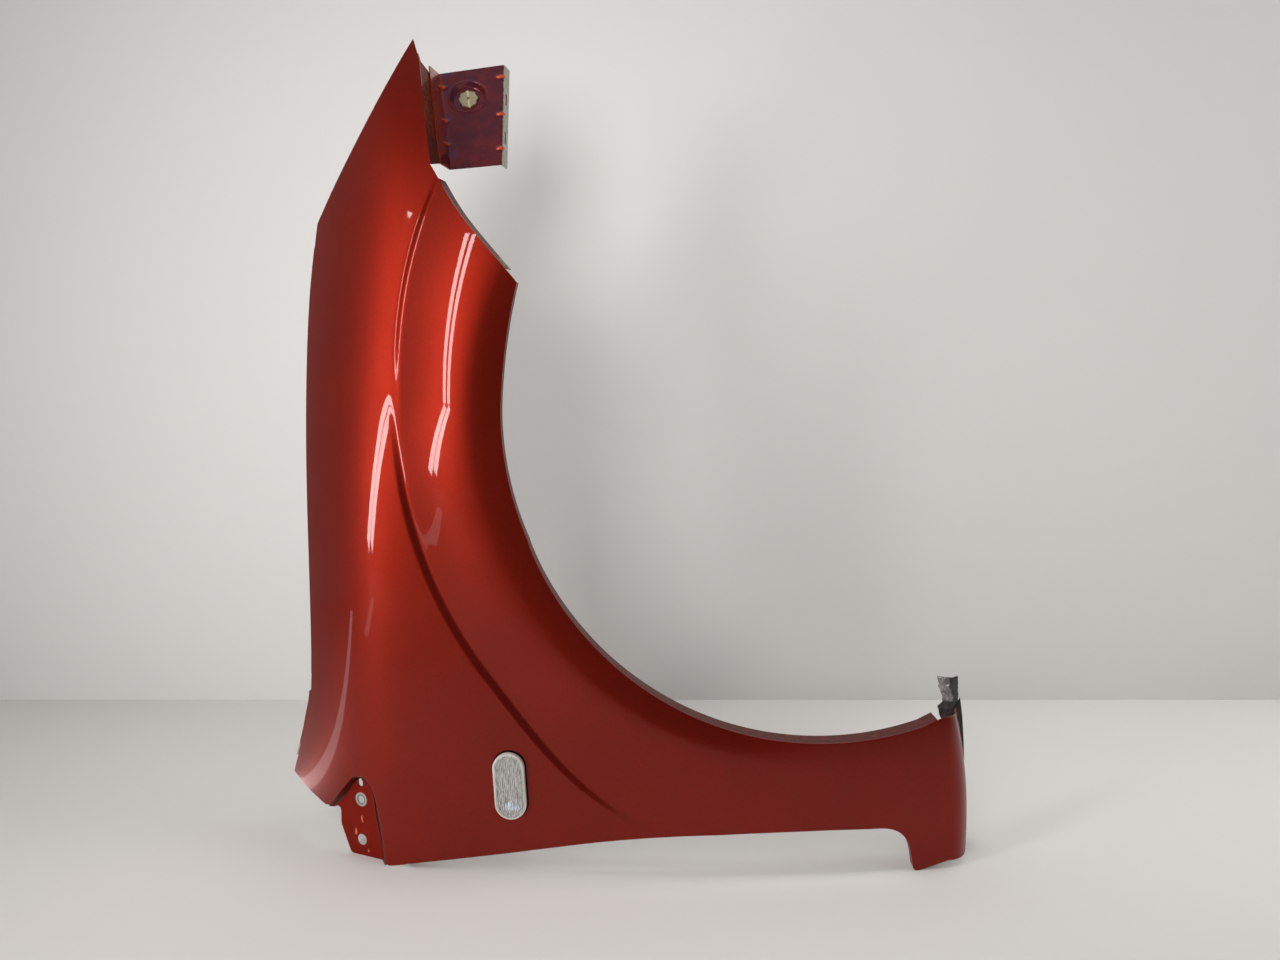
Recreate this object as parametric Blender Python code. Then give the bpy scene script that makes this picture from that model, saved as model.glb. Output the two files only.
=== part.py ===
import math

import bmesh
import bpy
from mathutils import Matrix, Vector

# Right front fender of a small hatchback, standing on its door edge and on its sill foot.
# Lengths are metres and angles are degrees. Every size below is measured from the wheel centre:
# X runs down the car, Z runs forward along it and Y runs inboard, so the painted side faces -Y.

# Sheets and clearances
SHEET = 0.0008
BRACKET_SHEET = 0.0012
SEAT_GAP = 0.0003

# Wheel arch
ARCH_RADIUS = 0.334
ARCH_FRONT_ANGLE = 157.4
ARCH_FRONT_OPENING = 0.010
ARCH_FRONT_OPENING_SPAN = 20.0
ARCH_SILL_OPENING = 0.010
ARCH_SILL_OPENING_START = 203.0
ARCH_SILL_OPENING_SPAN = 84.0
ARCH_SILL_OPENING_EASE = 0.6
ARCH_EAR_ANGLE = 200.0
ARCH_NOTCH_ANGLE = 203.0
ARCH_DOOR_ANGLE = 226.0
ARCH_FILLET_ANGLE = 277.0
ARCH_FOOT_ANGLE = 287.5
ARCH_HUMP_RISE = 0.013
ARCH_END_RISE = 0.0138
LIP_DEPTH_FRONT = 0.013
LIP_DEPTH_SILL = 0.025
LIP_GROWTH = (0.1, 0.7)

# Flare around the arch
CROWN_WIDTH = 0.032
FLARE_WIDTH = 0.108
FLARE_SPREAD_FRONT = 0.035
FLARE_SPREAD_FRONT_START = 187.0
FLARE_SPREAD_FRONT_SPAN = 38.0
FLARE_SPREAD_FRONT_EASE = 1.5
FLARE_SPREAD_DOOR = 0.0235
FLARE_SPREAD_DOOR_ANGLES = (218, 246)
FLARE_HEIGHT = 0.017
FLARE_FADE = 0.75
FLARE_FADE_ANGLES = (225, 275)
CROWN_DROP = 0.010
CROWN_DROP_EASE = 1.6
CROWN_FADE = 0.7
CROWN_FADE_ANGLES = (235, 275)
STEP_HEIGHT = 0.005
STEP_WIDTH = 0.009
STEP_RISE_ANGLES = (178, 200)
STEP_FADE_ANGLES = (222, 252)

# Outline of the panel, as reaches beyond the arch
BONNET_REACH = 0.225
BONNET_CORNER_HEIGHT = 0.2055
BONNET_CORNER_INSET = 0.011
TIP_RISE = 0.2045
TIP_INSET = 0.1155
TIP_EDGE_LENGTH = 0.027
TIP_EDGE_LEAN = 19.27
BRACKET_EDGE_LENGTH = 0.126
BRACKET_EDGE_LEAN = 9.5
BUMPER_EDGE_HOLLOW = (-0.0042, -0.0032)
BUMPER_EDGE_HOLLOW_SHARE = 0.42
HEADLAMP_EDGE_HOLLOW = 0.003
HEADLAMP_EDGE_HOLLOW_SHARE = 0.57
BONNET_EDGE_RISE = 0.110
BONNET_EDGE_INSET = 0.0035
BONNET_EDGE_CROWN = -0.060
EAR_REACH = 0.041
EAR_HEIGHT = 0.062
EAR_NECK_HEIGHT = 0.143
EAR_NECK_REACH = 0.0005
EAR_SWEEP_HEIGHT = 0.073
EAR_SWEEP_REACH = 0.013
COWL_LENGTH = 0.0615
COWL_DROP = 0.0133
LEG_HEIGHT = 0.1024
FOOT_DROP = 0.0486
DOOR_CORNER_INSET = 0.0925
DOOR_EDGE_RISE = (0.120, 0.0195)
DOOR_EDGE_SAGS = ((-0.219, -0.010), (-0.094, -0.002), (-0.010, 0.0))
FOOT_INNER_X = 0.0891
FOOT_FILLET_RUN = 0.046
FOOT_LEAN = 0.0083
FOOT_FILLET_RADIUS = 0.034
FOOT_CORNER_RADIUS = 0.005
FOOT_TOE = 0.015
FOOT_RISE = 0.009
SILL_CORNER_RISE = 0.013
SILL_TOP_X = 0.145
SILL_BOTTOM_X = 0.162
SILL_EDGE_BOW = 0.006
SILL_CORNER_BOW = 0.002

# Form of the painted surface
SIDE_BULGE = 0.022
SIDE_CROWN_X = -0.150
SIDE_RADIUS = 2.2
SHOULDER_INSET = 0.104
SHOULDER_RADIUS = 0.120
SHOULDER_BLEND = 0.03
NOSE_START = -0.060
NOSE_RADIUS = 1.0
NOSE_BLEND = 0.12
SILL_ROLL_RADIUS = 0.026

# Folded edges
HEADLAMP_RETURN = 0.009
BUMPER_RETURN = 0.024
BUMPER_RETURN_SPLAY = 0.003
BRACKET_RETURN = 0.060
BRACKET_RETURN_SPLAY = 0.010
BRACKET_RETURN_TIP = 0.004
BRACKET_RETURN_GROWTH = 4.5
DOOR_RETURN = 0.014
FOOT_RETURN = 0.009
COWL_RETURN = 0.008
HEM_RADIUS = 0.003
BONNET_FLANGE_INSET = 0.014
BONNET_WALL_DEPTH = 0.014
BONNET_FLANGE_WIDTH = 0.024
BONNET_FLANGE_END = 0.130
BONNET_BOLT_DIAMETER = 0.0085
BONNET_BOLT_HEIGHTS = (0.150, -0.045, -0.240)
SILL_FLANGE_DEPTH = 0.045
SILL_FLANGE_FLARE_TOP = 0.021
SILL_FLANGE_FLARE_FOOT = 0.0115

# Recessed tab at the windscreen pillar
TAB_JOGGLE = 0.011
TAB_SLOPE = 0.46
TAB_REACH = 0.057
TAB_TOP_HEIGHT = 0.053
TAB_SIDE_LENGTH = 0.022
TAB_FOOT_INSET = 0.012
TAB_CORNER_RADIUS = 0.005
JOGGLE_RUN = 0.004
RECESS_HEIGHT = 0.093
RECESS_INSET = 0.034
RECESS_NECK = (0.0195, 0.0245)
RECESS_CROWN = (0.018, -0.006)
RECESS_FOOT = (-0.0065, 0.056)
TAB_BOLT_DIAMETER = 0.0125
TAB_SCREW_DIAMETER = 0.0085
TAB_SLOT_WIDTH = 0.0055
TAB_SLOT_LENGTH = 0.0088
TAB_HOLE_INSET = 0.0308
TAB_HOLE_HEIGHTS = (0.0179, 0.0631, 0.0824)

# Bumper bracket and its grommet
BRACKET_TOP = -0.001
BRACKET_SEAM_DEPTH = 0.030
BRACKET_WEB_DEPTH = 0.056
BRACKET_TOP_WIDTH = 0.076
BRACKET_BOTTOM_WIDTH = 0.058
BRACKET_RISE = 0.1195
BRACKET_TOP_SLOPE = 0.155
BRACKET_BOTTOM_SLOPE = 0.10
BRACKET_REAR_FLANGE = 0.022
BRACKET_REAR_SPLAY = 0.006
BRACKET_BEND_RADIUS = 0.0025
BRACKET_FIT_GAP = 0.0006
CUP_ALONG_SHARE = 0.42
CUP_DOWN_SHARE = 0.28
CUP_RADIUS = 0.020
CUP_DEPTH = 0.006
CUP_DRAFT = 0.0035
GROMMET_SHANK_RADIUS = 0.0048
GROMMET_HEAD_RADIUS = 0.0105
GROMMET_HEAD_THICKNESS = 0.0030
GROMMET_SHANK_LENGTH = 0.014
GROMMET_BORE_RADIUS = 0.0018
GROMMET_BARB_RADIUS = 0.0062
GROMMET_TIP_RADIUS = 0.0036
GROMMET_BARB_RUN = 0.002
GROMMET_HEAD_EDGE = 0.0008
GROMMET_LOBES = 8
GROMMET_LOBE_DEPTH = 0.06
BRACKET_SLOT_LENGTH = 0.016
BRACKET_SLOT_WIDTH = 0.004
BRACKET_SLOT_SHARES = (0.33, 0.72)

# Sill bracket
SILL_BRACKET_TOP = 0.0335
SILL_BRACKET_TOP_FALL = 0.008
SILL_BRACKET_WING = 0.0155
SILL_BRACKET_WING_MIDDLE = 0.0124
SILL_BRACKET_WING_FOOT = 0.0062
SILL_BRACKET_WING_SPLAY = 0.006
SILL_BRACKET_LEG_SHARES = (0.12, 0.90)
SILL_BRACKET_LEAN_GAP = 0.00017
SILL_BRACKET_LENGTH = 0.130

# Side repeater lamp
LAMP_FROM_BONNET = 0.2304
LAMP_ABOVE_FOOT = 0.097
LAMP_LENGTH = 0.071
LAMP_WIDTH = 0.0335
LAMP_LEAN = 3.5
LENS_HEIGHT = 0.0055
LENS_EDGE = 0.0018
LENS_WALL = 0.0018
LENS_FLANGE = 0.0050
LENS_SKIRT = 0.008
GASKET_THICKNESS = 0.0012
GASKET_INSET = 0.0012
HOUSING_WALL = 0.0015
HOUSING_DEPTH = 0.026
HOUSING_RIM = 0.0005
HOUSING_TAPER = 0.0015
HOUSING_FLOOR_TAPER = 0.001
HOLDER_RADIUS = 0.0085
HOLDER_NECK_RADIUS = 0.0061
HOLDER_BACK_RADII = (0.0060, 0.0055)
HOLDER_LENGTH = 0.018
HOLDER_FLANGE = 0.0025
HOLDER_CHAMFER = 0.001
HOLDER_STAND = 0.001
BULB_RADIUS = 0.0045
BULB_NECK_RADIUS = 0.0036
BULB_WEDGE_RADIUS = 0.0034
BULB_WEDGE_DEPTH = 0.0072
BULB_SHOULDER = 0.0012
BULB_LENGTH = 0.016

# Depth of the cutters on each side of the sheet
HOLE_CUT = 0.006
LAMP_CUT = 0.012
BORE_CUT = 0.004

# Mesh density
SMALLEST_CELL = 0.006
CROWN_SHARES = (0.06, 0.60)
VALLEY_SHARES = (0.15, 0.85)
RIDGE_SHARES = (0.03, 0.89)

MATERIALS = {
    "body_paint": ((0.28, 0.030, 0.010), 0.25, 0.75),
    "bracket_paint": ((0.10, 0.015, 0.020), 0.30, 0.60),
    "sill_coating": ((0.035, 0.030, 0.028), 0.85, 0.0),
    "natural_nylon": ((0.42, 0.38, 0.25), 0.45, 0.0),
    "clear_lens": ((0.80, 0.82, 0.84), 0.05, 0.0),
    "lamp_plastic": ((0.62, 0.62, 0.62), 0.30, 0.0),
    "seal_rubber": ((0.02, 0.02, 0.02), 0.70, 0.0),
    "holder_plastic": ((0.05, 0.05, 0.055), 0.50, 0.0),
    "bulb_glass": ((0.80, 0.45, 0.12), 0.05, 0.0),
}


# Curves and small helpers

def point(x, z):
    return Vector((x, z))


def downward(lean):
    """Direction down the side view, leaning towards the sill."""
    turn = math.radians(lean)
    return point(math.sin(turn), -math.cos(turn))


def angle_of(p):
    return math.degrees(math.atan2(p.y, p.x)) % 360


def smooth_step(start, end, value):
    t = min(1.0, max(0.0, (value - start) / (end - start)))
    return t * t * (3 - 2 * t)


def ramp(distance, blend):
    """Zero on one side and rising evenly on the other, with a rounded foot."""
    return (distance + math.sqrt(distance * distance + blend * blend)) / 2


def evenly(count):
    return [i / count for i in range(count + 1)]


def along(polyline, fractions):
    """Points at the given shares of a polyline's length."""
    lengths = [0.0]
    for a, b in zip(polyline, polyline[1:]):
        lengths.append(lengths[-1] + (b - a).length)
    found = []
    for fraction in fractions:
        target = fraction * lengths[-1]
        k = 1
        while k < len(lengths) - 1 and lengths[k] < target:
            k += 1
        share = (target - lengths[k - 1]) / (lengths[k] - lengths[k - 1])
        found.append(polyline[k - 1].lerp(polyline[k], share))
    return found


def curve_through(points, fractions, steps=24):
    """Points at the given shares of a smooth curve through a few chosen ones."""
    ends = [2 * points[0] - points[1]] + points + [2 * points[-1] - points[-2]]
    dense = [points[0]]
    for before, a, b, after in zip(ends, ends[1:], ends[2:], ends[3:]):
        for i in range(1, steps + 1):
            t = i / steps
            pull_a = (b - before) / 2
            pull_b = (after - a) / 2
            dense.append(
                (2 * t**3 - 3 * t**2 + 1) * a
                + (t**3 - 2 * t**2 + t) * pull_a
                + (-2 * t**3 + 3 * t**2) * b
                + (t**3 - t**2) * pull_b
            )
    return along(dense, fractions)


def rounded(corners, radii, steps=4):
    """An open polyline with each inner corner rounded by its own radius."""
    path = [corners[0]]
    for before, corner, after, radius in zip(corners, corners[1:], corners[2:], radii):
        into = (before - corner).normalized()
        out = (after - corner).normalized()
        half = into.angle(out) / 2
        reach = radius / math.tan(half)
        for i in range(steps + 1):
            t = i / steps
            start = corner + into * reach
            end = corner + out * reach
            path.append(start * (1 - t) ** 2 + corner * 2 * t * (1 - t) + end * t * t)
    path.append(corners[-1])
    return path


def joined(*pieces):
    """One list of points from curves that share their end points."""
    path = list(pieces[0])
    for piece in pieces[1:]:
        path += piece[1:]
    return path


# Outline of the panel

def arch_radius(angle):
    front = max(0.0, (ARCH_FRONT_ANGLE + ARCH_FRONT_OPENING_SPAN - angle) / ARCH_FRONT_OPENING_SPAN)
    sill = max(0.0, (angle - ARCH_SILL_OPENING_START) / ARCH_SILL_OPENING_SPAN)
    sill_opening = ARCH_SILL_OPENING * sill**ARCH_SILL_OPENING_EASE
    return ARCH_RADIUS + ARCH_FRONT_OPENING * front**2 + sill_opening


def arch_point(angle):
    turn = math.radians(angle)
    return arch_radius(angle) * point(math.cos(turn), math.sin(turn))


BONNET_X = -(ARCH_RADIUS + BONNET_REACH)
DOOR_Z = -(ARCH_RADIUS + LEG_HEIGHT)
FLOOR_Z = DOOR_Z - FOOT_DROP
BONNET_CORNER = point(BONNET_X + BONNET_CORNER_INSET, BONNET_CORNER_HEIGHT)
TIP = point(BONNET_X + TIP_INSET, BONNET_CORNER_HEIGHT + TIP_RISE)
TIP_SHOULDER = TIP + TIP_EDGE_LENGTH * downward(TIP_EDGE_LEAN)
BRACKET_FOOT = TIP_SHOULDER + BRACKET_EDGE_LENGTH * downward(BRACKET_EDGE_LEAN)
ARCH_START = arch_point(ARCH_FRONT_ANGLE)
EAR = point(BONNET_X - EAR_REACH, FLOOR_Z + EAR_HEIGHT)
NOTCH = EAR + point(COWL_LENGTH, -COWL_DROP)
DOOR_CORNER = point(BONNET_X + DOOR_CORNER_INSET, FLOOR_Z)
RECESS_TOP = DOOR_CORNER + point(-RECESS_INSET, RECESS_HEIGHT)
DOOR_END = point(FOOT_INNER_X - FOOT_FILLET_RUN, DOOR_Z)
FOOT_CORNER = point(FOOT_INNER_X + FOOT_TOE, FLOOR_Z)
FOOT_MIDDLE = point(SILL_BOTTOM_X - SILL_ROLL_RADIUS, FLOOR_Z + FOOT_RISE)
FOOT_END = point(SILL_BOTTOM_X, FLOOR_Z + SILL_CORNER_RISE)
ARCH_HUMP = point(SILL_TOP_X - SILL_ROLL_RADIUS, ARCH_HUMP_RISE - ARCH_RADIUS)
ARCH_END = point(SILL_TOP_X, ARCH_END_RISE - ARCH_RADIUS)

# The grid runs between an inner and an outer border, and each span is one stretch of the outline.
SPANS = {
    "nose_tip": 8, "nose": 8, "bonnet": 24, "cowl": 3, "recess": 10,
    "door": 20, "fillet": 8, "foot": 3, "roll": 5,
}
ROWS = {"lip": 3, "flare": 6, "step": 2, "body": 8}
ROLL_TURNS = [math.sin(math.radians(90 * i / SPANS["roll"])) for i in range(SPANS["roll"] + 1)]


def span_columns(name):
    """First and last column of a span."""
    first = 0
    for other, count in SPANS.items():
        if other == name:
            return first, first + count
        first += count
    raise KeyError(name)


def arch_stretch(start, end, fractions):
    return [arch_point(start + (end - start) * f) for f in fractions]


def inner_border():
    """Bumper edge from the tip to the arch, then the arch down to the sill."""
    recess_shares = [share**2 for share in evenly(SPANS["recess"])]
    hollow = BRACKET_FOOT.lerp(ARCH_START, BUMPER_EDGE_HOLLOW_SHARE) + point(*BUMPER_EDGE_HOLLOW)
    roll_middle = ARCH_HUMP.lerp(ARCH_END, 0.5) + point(0, SILL_CORNER_BOW)
    return joined(
        along([TIP, TIP_SHOULDER, BRACKET_FOOT], evenly(SPANS["nose_tip"])),
        curve_through([BRACKET_FOOT, hollow, ARCH_START], evenly(SPANS["nose"])),
        arch_stretch(ARCH_FRONT_ANGLE, ARCH_EAR_ANGLE, evenly(SPANS["bonnet"])),
        arch_stretch(ARCH_EAR_ANGLE, ARCH_NOTCH_ANGLE, evenly(SPANS["cowl"])),
        arch_stretch(ARCH_NOTCH_ANGLE, ARCH_DOOR_ANGLE, recess_shares),
        arch_stretch(ARCH_DOOR_ANGLE, ARCH_FILLET_ANGLE, evenly(SPANS["door"])),
        arch_stretch(ARCH_FILLET_ANGLE, ARCH_FOOT_ANGLE, evenly(SPANS["fillet"])),
        curve_through([arch_point(ARCH_FOOT_ANGLE), ARCH_HUMP], evenly(SPANS["foot"])),
        curve_through([ARCH_HUMP, roll_middle, ARCH_END], ROLL_TURNS),
    )


def outer_border():
    """Headlamp edge, bonnet edge, cowl, pillar recess, door edge and sill foot."""
    hollow = TIP.lerp(BONNET_CORNER, HEADLAMP_EDGE_HOLLOW_SHARE) + point(HEADLAMP_EDGE_HOLLOW, 0)
    headlamp = curve_through([TIP, hollow, BONNET_CORNER], evenly(SPANS["nose_tip"] + SPANS["nose"]))
    bonnet = curve_through(
        [BONNET_CORNER, point(BONNET_X + BONNET_EDGE_INSET, BONNET_EDGE_RISE),
         point(BONNET_X, BONNET_EDGE_CROWN),
         point(BONNET_X - EAR_NECK_REACH, EAR.y + EAR_NECK_HEIGHT),
         point(BONNET_X - EAR_SWEEP_REACH, EAR.y + EAR_SWEEP_HEIGHT), EAR],
        evenly(SPANS["bonnet"]))
    recess = curve_through(
        [NOTCH, NOTCH + point(*RECESS_NECK), RECESS_TOP, RECESS_TOP + point(*RECESS_CROWN),
         DOOR_CORNER + point(*RECESS_FOOT), DOOR_CORNER],
        evenly(SPANS["recess"]))
    sags = [point(x, DOOR_Z + rise) for x, rise in DOOR_EDGE_SAGS]
    door = curve_through(
        [DOOR_CORNER, DOOR_CORNER + point(*DOOR_EDGE_RISE), *sags, DOOR_END],
        evenly(SPANS["door"]))
    fillet = along(
        rounded([DOOR_END, point(FOOT_INNER_X, DOOR_Z), point(FOOT_INNER_X + FOOT_LEAN, FLOOR_Z), FOOT_CORNER],
                (FOOT_FILLET_RADIUS, FOOT_CORNER_RADIUS), 6),
        evenly(SPANS["fillet"]))
    roll_middle = FOOT_MIDDLE.lerp(FOOT_END, 0.7) + point(0, -SILL_CORNER_BOW)
    return joined(
        headlamp, bonnet, along([EAR, NOTCH], evenly(SPANS["cowl"])), recess, door, fillet,
        along([FOOT_CORNER, FOOT_MIDDLE], evenly(SPANS["foot"])),
        curve_through([FOOT_MIDDLE, roll_middle, FOOT_END], ROLL_TURNS),
    )


# Form of the painted surface

def bow(share):
    """How far the sill edge bows out between its ends."""
    inside = min(1.0, max(0.0, share))
    return 4 * SILL_EDGE_BOW * inside * (1 - inside)


def sill_share(z):
    """How far down the sill edge a height lies."""
    return max(0.0, (ARCH_END.y - z) / (ARCH_END.y - FOOT_END.y))


def sill_edge_x(z):
    share = sill_share(z)
    return SILL_TOP_X + (SILL_BOTTOM_X - SILL_TOP_X) * share + bow(share)


def body_depth(p):
    """Body side without the flare: a slow barrel, the bonnet shoulder, the nose and the sill roll."""
    depth = (p.x - SIDE_CROWN_X) ** 2 / (2 * SIDE_RADIUS) - SIDE_BULGE
    depth += ramp(BONNET_X + SHOULDER_INSET - p.x, SHOULDER_BLEND) ** 2 / (2 * SHOULDER_RADIUS)
    depth += ramp(p.y - NOSE_START, NOSE_BLEND) ** 2 / (2 * NOSE_RADIUS)
    into_roll = min(SILL_ROLL_RADIUS, max(0.0, p.x - sill_edge_x(p.y) + SILL_ROLL_RADIUS))
    depth += SILL_ROLL_RADIUS - math.sqrt(SILL_ROLL_RADIUS**2 - into_roll**2)
    return depth


def crown_radius(angle):
    return ARCH_RADIUS + CROWN_WIDTH


def valley_radius(angle):
    front = max(0.0, (FLARE_SPREAD_FRONT_START - angle) / FLARE_SPREAD_FRONT_SPAN)
    front_spread = FLARE_SPREAD_FRONT * front**FLARE_SPREAD_FRONT_EASE
    door_spread = FLARE_SPREAD_DOOR * smooth_step(*FLARE_SPREAD_DOOR_ANGLES, angle)
    return ARCH_RADIUS + FLARE_WIDTH + front_spread + door_spread


def ridge_radius(angle):
    return valley_radius(angle) + STEP_WIDTH


def depth_at(p):
    """Inboard depth of the painted surface at a point of the side view."""
    angle = angle_of(p)
    radius = p.length
    valley = valley_radius(angle)
    crown = crown_radius(angle)
    height = FLARE_HEIGHT * (1 - FLARE_FADE * smooth_step(*FLARE_FADE_ANGLES, angle))
    depth = body_depth(p)
    if radius < valley:
        rise = min(1.0, (valley - radius) / (valley - crown))
        depth -= height * math.sin(math.pi / 2 * rise)
    if radius < crown:
        drop = CROWN_DROP * (1 - CROWN_FADE * smooth_step(*CROWN_FADE_ANGLES, angle))
        depth += drop * ((crown - radius) / CROWN_WIDTH) ** CROWN_DROP_EASE
    step = STEP_HEIGHT * smooth_step(*STEP_RISE_ANGLES, angle) * (1 - smooth_step(*STEP_FADE_ANGLES, angle))
    return depth + step * (1 - smooth_step(valley, valley + STEP_WIDTH, radius))


def on_surface(p):
    return Vector((p.x, depth_at(p), p.y))


def crossing(a, b, radius_at):
    """Share of the way from a to b where the line passes a curve around the arch."""
    low, high = 0.0, 1.0
    for _ in range(30):
        middle = (low + high) / 2
        p = a.lerp(b, middle)
        if p.length > radius_at(angle_of(p)):
            high = middle
        else:
            low = middle
    return high


def row_shares(a, b):
    """Shares of the way from the inner to the outer border where the rows of the grid lie."""
    crown = min(CROWN_SHARES[1], max(CROWN_SHARES[0], crossing(a, b, crown_radius)))
    valley = min(VALLEY_SHARES[1], max(crown + VALLEY_SHARES[0], crossing(a, b, valley_radius)))
    ridge = min(RIDGE_SHARES[1], max(valley + RIDGE_SHARES[0], crossing(a, b, ridge_radius)))
    shares = [crown * f for f in evenly(ROWS["lip"])]
    shares += [crown + (valley - crown) * f for f in evenly(ROWS["flare"])[1:]]
    shares += [valley + (ridge - valley) * f for f in evenly(ROWS["step"])[1:]]
    shares += [ridge + (1 - ridge) * f for f in evenly(ROWS["body"])[1:]]
    cells = int((b - a).length / SMALLEST_CELL)
    if cells < len(shares) - 1:
        shares = [round(s * cells) / cells if cells else 0.0 for s in shares]
    return shares


# Mesh and object helpers

def material(name):
    found = bpy.data.materials.get(name)
    if found:
        return found
    color, roughness, metallic = MATERIALS[name]
    made = bpy.data.materials.new(name)
    made.use_nodes = True
    shader = made.node_tree.nodes["Principled BSDF"]
    shader.inputs["Base Color"].default_value = (*color, 1)
    shader.inputs["Roughness"].default_value = roughness
    shader.inputs["Metallic"].default_value = metallic
    if name in ("clear_lens", "bulb_glass"):
        shader.inputs["Transmission Weight"].default_value = 0.9
    made.diffuse_color = (*color, 1)
    return made


def add_object(name, bm, parent, slot, sharp=35):
    mesh = bpy.data.meshes.new(name)
    bm.to_mesh(mesh)
    bm.free()
    made = bpy.data.objects.new(name, mesh)
    made.parent = parent
    bpy.context.scene.collection.objects.link(made)
    if slot:
        mesh.materials.append(material(slot))
        mesh.shade_smooth()
        mesh.set_sharp_from_angle(angle=math.radians(sharp))
    return made


def add_empty(name, location=(0, 0, 0)):
    empty = bpy.data.objects.new(name, None)
    empty.location = location
    bpy.context.scene.collection.objects.link(empty)
    return empty


def thicken(made, thickness):
    """Sheet metal: the drawn side stays where it is and the steel lies behind it."""
    solidify = made.modifiers.new("sheet", "SOLIDIFY")
    solidify.thickness = thickness
    solidify.offset = -1


def add_cutter(name, bm, parent, target):
    cutter = add_object(name, bm, parent, None)
    cutter.hide_render = True
    cutter.display_type = "WIRE"
    cut = target.modifiers.new(name, "BOOLEAN")
    cut.operation = "DIFFERENCE"
    cut.solver = "EXACT"
    cut.object = cutter
    return cutter


def face_outward(bm, direction):
    """Turn all faces one way, so that the first one looks along the given direction."""
    bmesh.ops.recalc_face_normals(bm, faces=bm.faces)
    bm.faces.ensure_lookup_table()
    if bm.faces[0].normal.dot(direction) < 0:
        bmesh.ops.reverse_faces(bm, faces=bm.faces)


def frame_facing(location, outward, upward):
    """Matrix with Z along the outward direction and Y as near as may be to the upward one."""
    z_axis = outward.normalized()
    x_axis = upward.cross(z_axis).normalized()
    y_axis = z_axis.cross(x_axis)
    turn = Matrix((x_axis, y_axis, z_axis)).transposed()
    return Matrix.Translation(location) @ turn.to_4x4()


def stadium(length, width, inset, height, steps=10):
    """Loop of points round a long shape with half-round ends, drawn in by the inset."""
    radius = width / 2 - inset
    straight = length / 2 - width / 2
    loop = []
    for end, start_angle in ((straight, 0), (-straight, 180)):
        for i in range(steps + 1):
            turn = math.radians(start_angle + 180 * i / steps)
            loop.append(Vector((radius * math.cos(turn), end + radius * math.sin(turn), height)))
    return loop


def circle(radius, height, steps=24, lobes=0, lobe_depth=0.0):
    loop = []
    for i in range(steps):
        turn = 2 * math.pi * i / steps
        reach = radius * (1 + lobe_depth * math.cos(lobes * turn))
        loop.append(Vector((reach * math.cos(turn), reach * math.sin(turn), height)))
    return loop


def stacked(loops, closed_ring=False):
    """Closed body through loops of equal count, capped at both ends or joined into a ring."""
    bm = bmesh.new()
    rings = [[bm.verts.new(p) for p in loop] for loop in loops]
    pairs = list(zip(rings, rings[1:]))
    if closed_ring:
        pairs.append((rings[-1], rings[0]))
    else:
        bm.faces.new(rings[0])
        bm.faces.new(rings[-1])
    for a, b in pairs:
        for i in range(len(a)):
            k = (i + 1) % len(a)
            bm.faces.new((a[i], a[k], b[k], b[i]))
    bmesh.ops.recalc_face_normals(bm, faces=bm.faces)
    return bm


# Fender panel

def fold(bm, border, rows):
    """Strip of steel along a border; each row is a function from a border point to its new place."""
    count = len(border) - 1
    last = border
    for row in rows:
        new = [bm.verts.new(row(v.co.copy(), i / count)) for i, v in enumerate(border)]
        for i in range(count):
            bm.faces.new((last[i], last[i + 1], new[i + 1], new[i]))
        last = new
    return last


def tab_depth(x):
    base = depth_at(DOOR_CORNER) + TAB_JOGGLE
    return base + TAB_SLOPE * (DOOR_CORNER.x - x)


def joggle(co, _):
    """Foot of the recess wall, drawn in towards the middle of the tab and set back on its plane."""
    middle = DOOR_CORNER + point(-TAB_HOLE_INSET, RECESS_HEIGHT / 2)
    inward = middle - point(co.x, co.z)
    if math.isclose(co.z, FLOOR_Z, abs_tol=1e-6):
        inward.y = 0
    shift = inward.normalized() * JOGGLE_RUN
    x = co.x + shift.x
    return Vector((x, tab_depth(x), co.z + shift.y))


def bonnet_fold_rows():
    plane_x = BONNET_X + BONNET_FLANGE_INSET
    return [
        lambda co, t: co + Vector((-HEM_RADIUS / 2, HEM_RADIUS, 0)),
        lambda co, t: Vector((plane_x, co.y + BONNET_WALL_DEPTH, co.z)),
        lambda co, t: Vector((plane_x, co.y + BONNET_WALL_DEPTH + BONNET_FLANGE_WIDTH, co.z)),
    ]


def bracket_return_rows():
    def row(co, t):
        below = max(0.0, TIP.y - co.z - TIP_EDGE_LENGTH)
        depth = min(BRACKET_RETURN, BRACKET_RETURN_TIP + BRACKET_RETURN_GROWTH * below)
        splay = BRACKET_RETURN_SPLAY * depth / BRACKET_RETURN
        return co + Vector((splay, depth, 0))
    return [row]


def sill_flare(share):
    """Outward lean of the sill flange, by share of the way down its edge."""
    return SILL_FLANGE_FLARE_FOOT + (SILL_FLANGE_FLARE_TOP - SILL_FLANGE_FLARE_FOOT) * (1 - share) ** 2


def sill_flange_rows():
    def row(depth_share):
        def place(co, _):
            out = sill_flare(sill_share(co.z)) * depth_share
            down = (co.z - FLOOR_Z) * smooth_step(0.75, 1.0, sill_share(co.z)) * depth_share
            return co + Vector((out, SILL_FLANGE_DEPTH * depth_share, -down))
        return place
    return [row(0.5), row(1.0)]


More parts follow.
